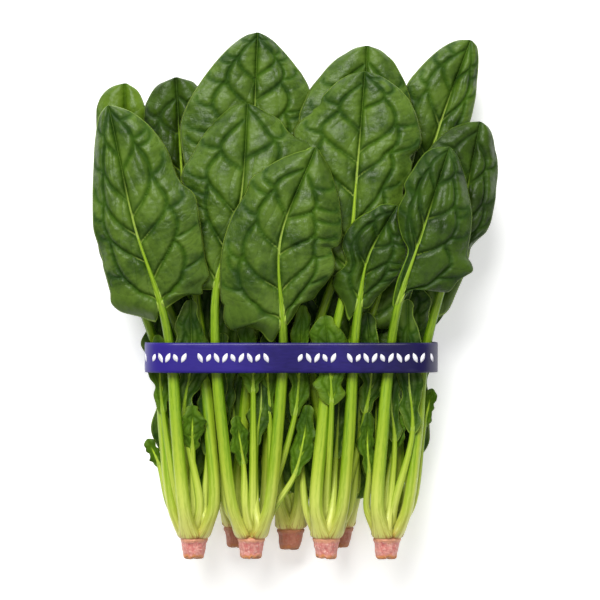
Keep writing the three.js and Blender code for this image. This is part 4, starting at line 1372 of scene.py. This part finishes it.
for number, (name, leaf) in enumerate([*leaves.items(), *young.items(), *heart.items()]):
    kind = "in sight" if name in EDGES else "hidden" if leaf.large else "young" if name in young else "heart"
    lines, columns = blade_lines(name, leaf, CELLS[kind], Random(number))
    finish = BLADE_FINISH.get(name, "bright leaf" if name in young else "leaf")
    small = 1.0 if leaf.large else 0.4
    sizes = {
        "Columns": columns,
        "Length": leaf.length * MM,
        "Swell": 0.0025 * small,
        "Cup": leaf.cup * MM,
        "Ripple": 0.0012 if leaf.large else 0.0016,
        "Pucker": 0.0025 * small,
        "Pucker Reach": 0.0013,
        "Fine Pucker": 0.0005 * small,
        "Rumple": 0.0023 * small,
        "Seed": number * 1.7,
        "Finish": greens[finish],
    }
    blade = grown("leaf_" + name, leaf_growth, lines, sizes)
    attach(blade, "root")
    if name not in heart:
        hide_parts(("blade_" if leaf.large else "young_") + name)

stalk_skin = {"Sides": 36, "Finish": stalk_finish(grain)}
root_skin = {
    "Sides": 72,
    "Ribs": 5.0,
    "Rib Depth": 0.025,
    "Lumps": 0.0013,
    "Lump Size": 240.0,
    "Chips": 0.006,
    "Finish": root_finish(grain),
}
for number, plant in enumerate(PLANTS):
    chance = Random(STALK_SEED + number)
    paths = [turned_values(plant, filled(CROWN, step=1.0))]
    for leaf in (*leaves.values(), *young.values(), *heart.values()):
        if leaf.plant == plant:
            paths.append(stalk_values(leaf))
    lines = swept_lines("stalks " + plant, plant, paths, chance)
    stalks = grown("leafstalks_" + plant, stalk_growth, lines, stalk_skin)
    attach(stalks, "root")
    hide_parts("stalks_" + plant)

    lean = Vector((chance.uniform(-ROOT_LEAN, ROOT_LEAN), 0, 0))
    paths = [turned_values(plant, filled(ROOT, step=0.5), lean)]
    lines = swept_lines("root " + plant, plant, paths, chance)
    taproot = grown("taproot_" + plant, stalk_growth, lines, root_skin)
    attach(taproot, "root")
    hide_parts("root_" + plant)

loop = bpy.data.objects.new("printed_band", band_mesh())
bpy.context.scene.collection.objects.link(loop)
loop.data.materials.append(band_finish())
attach(loop, "root")
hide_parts("band")

marks = grown("band_marks", marks_tree(), mark_lines(), {"Finish": ink_finish()})
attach(marks, "root")

# ---- Floor and light ----------------------------------------------------------------------------

FLOOR = 6  # metres from the middle to each side

ground = bpy.data.meshes.new("floor")
corners = [(x * FLOOR, y * FLOOR, 0) for x, y in ((-1, -1), (1, -1), (1, 1), (-1, 1))]
ground.from_pydata(corners, [], [(0, 1, 2, 3)])
floor = bpy.data.objects.new("floor", ground)
bpy.context.scene.collection.objects.link(floor)
ground.materials.append(floor_finish())


def add_light(name, place, size, power, aim=(0, 0.02, 0.04)):
    lamp = bpy.data.lights.new(name, "AREA")
    lamp.shape, lamp.size, lamp.energy = "DISK", size, power
    light = bpy.data.objects.new(name, lamp)
    light.location = place
    light.rotation_euler = (Vector(aim) - Vector(place)).to_track_quat("-Z", "Y").to_euler()
    bpy.context.scene.collection.objects.link(light)


add_light("key", (-0.4, 1.3, 1.6), 1.3, 54)
add_light("fill", (0.9, -0.9, 1.9), 1.5, 6)
bpy.context.scene.view_settings.view_transform = "Standard"
world = bpy.data.worlds.new("studio")
bpy.context.scene.world = world
world.use_nodes = True
world.node_tree.nodes["Background"].inputs["Color"].default_value = (1, 1, 1, 1)
world.node_tree.nodes["Background"].inputs["Strength"].default_value = 0.34
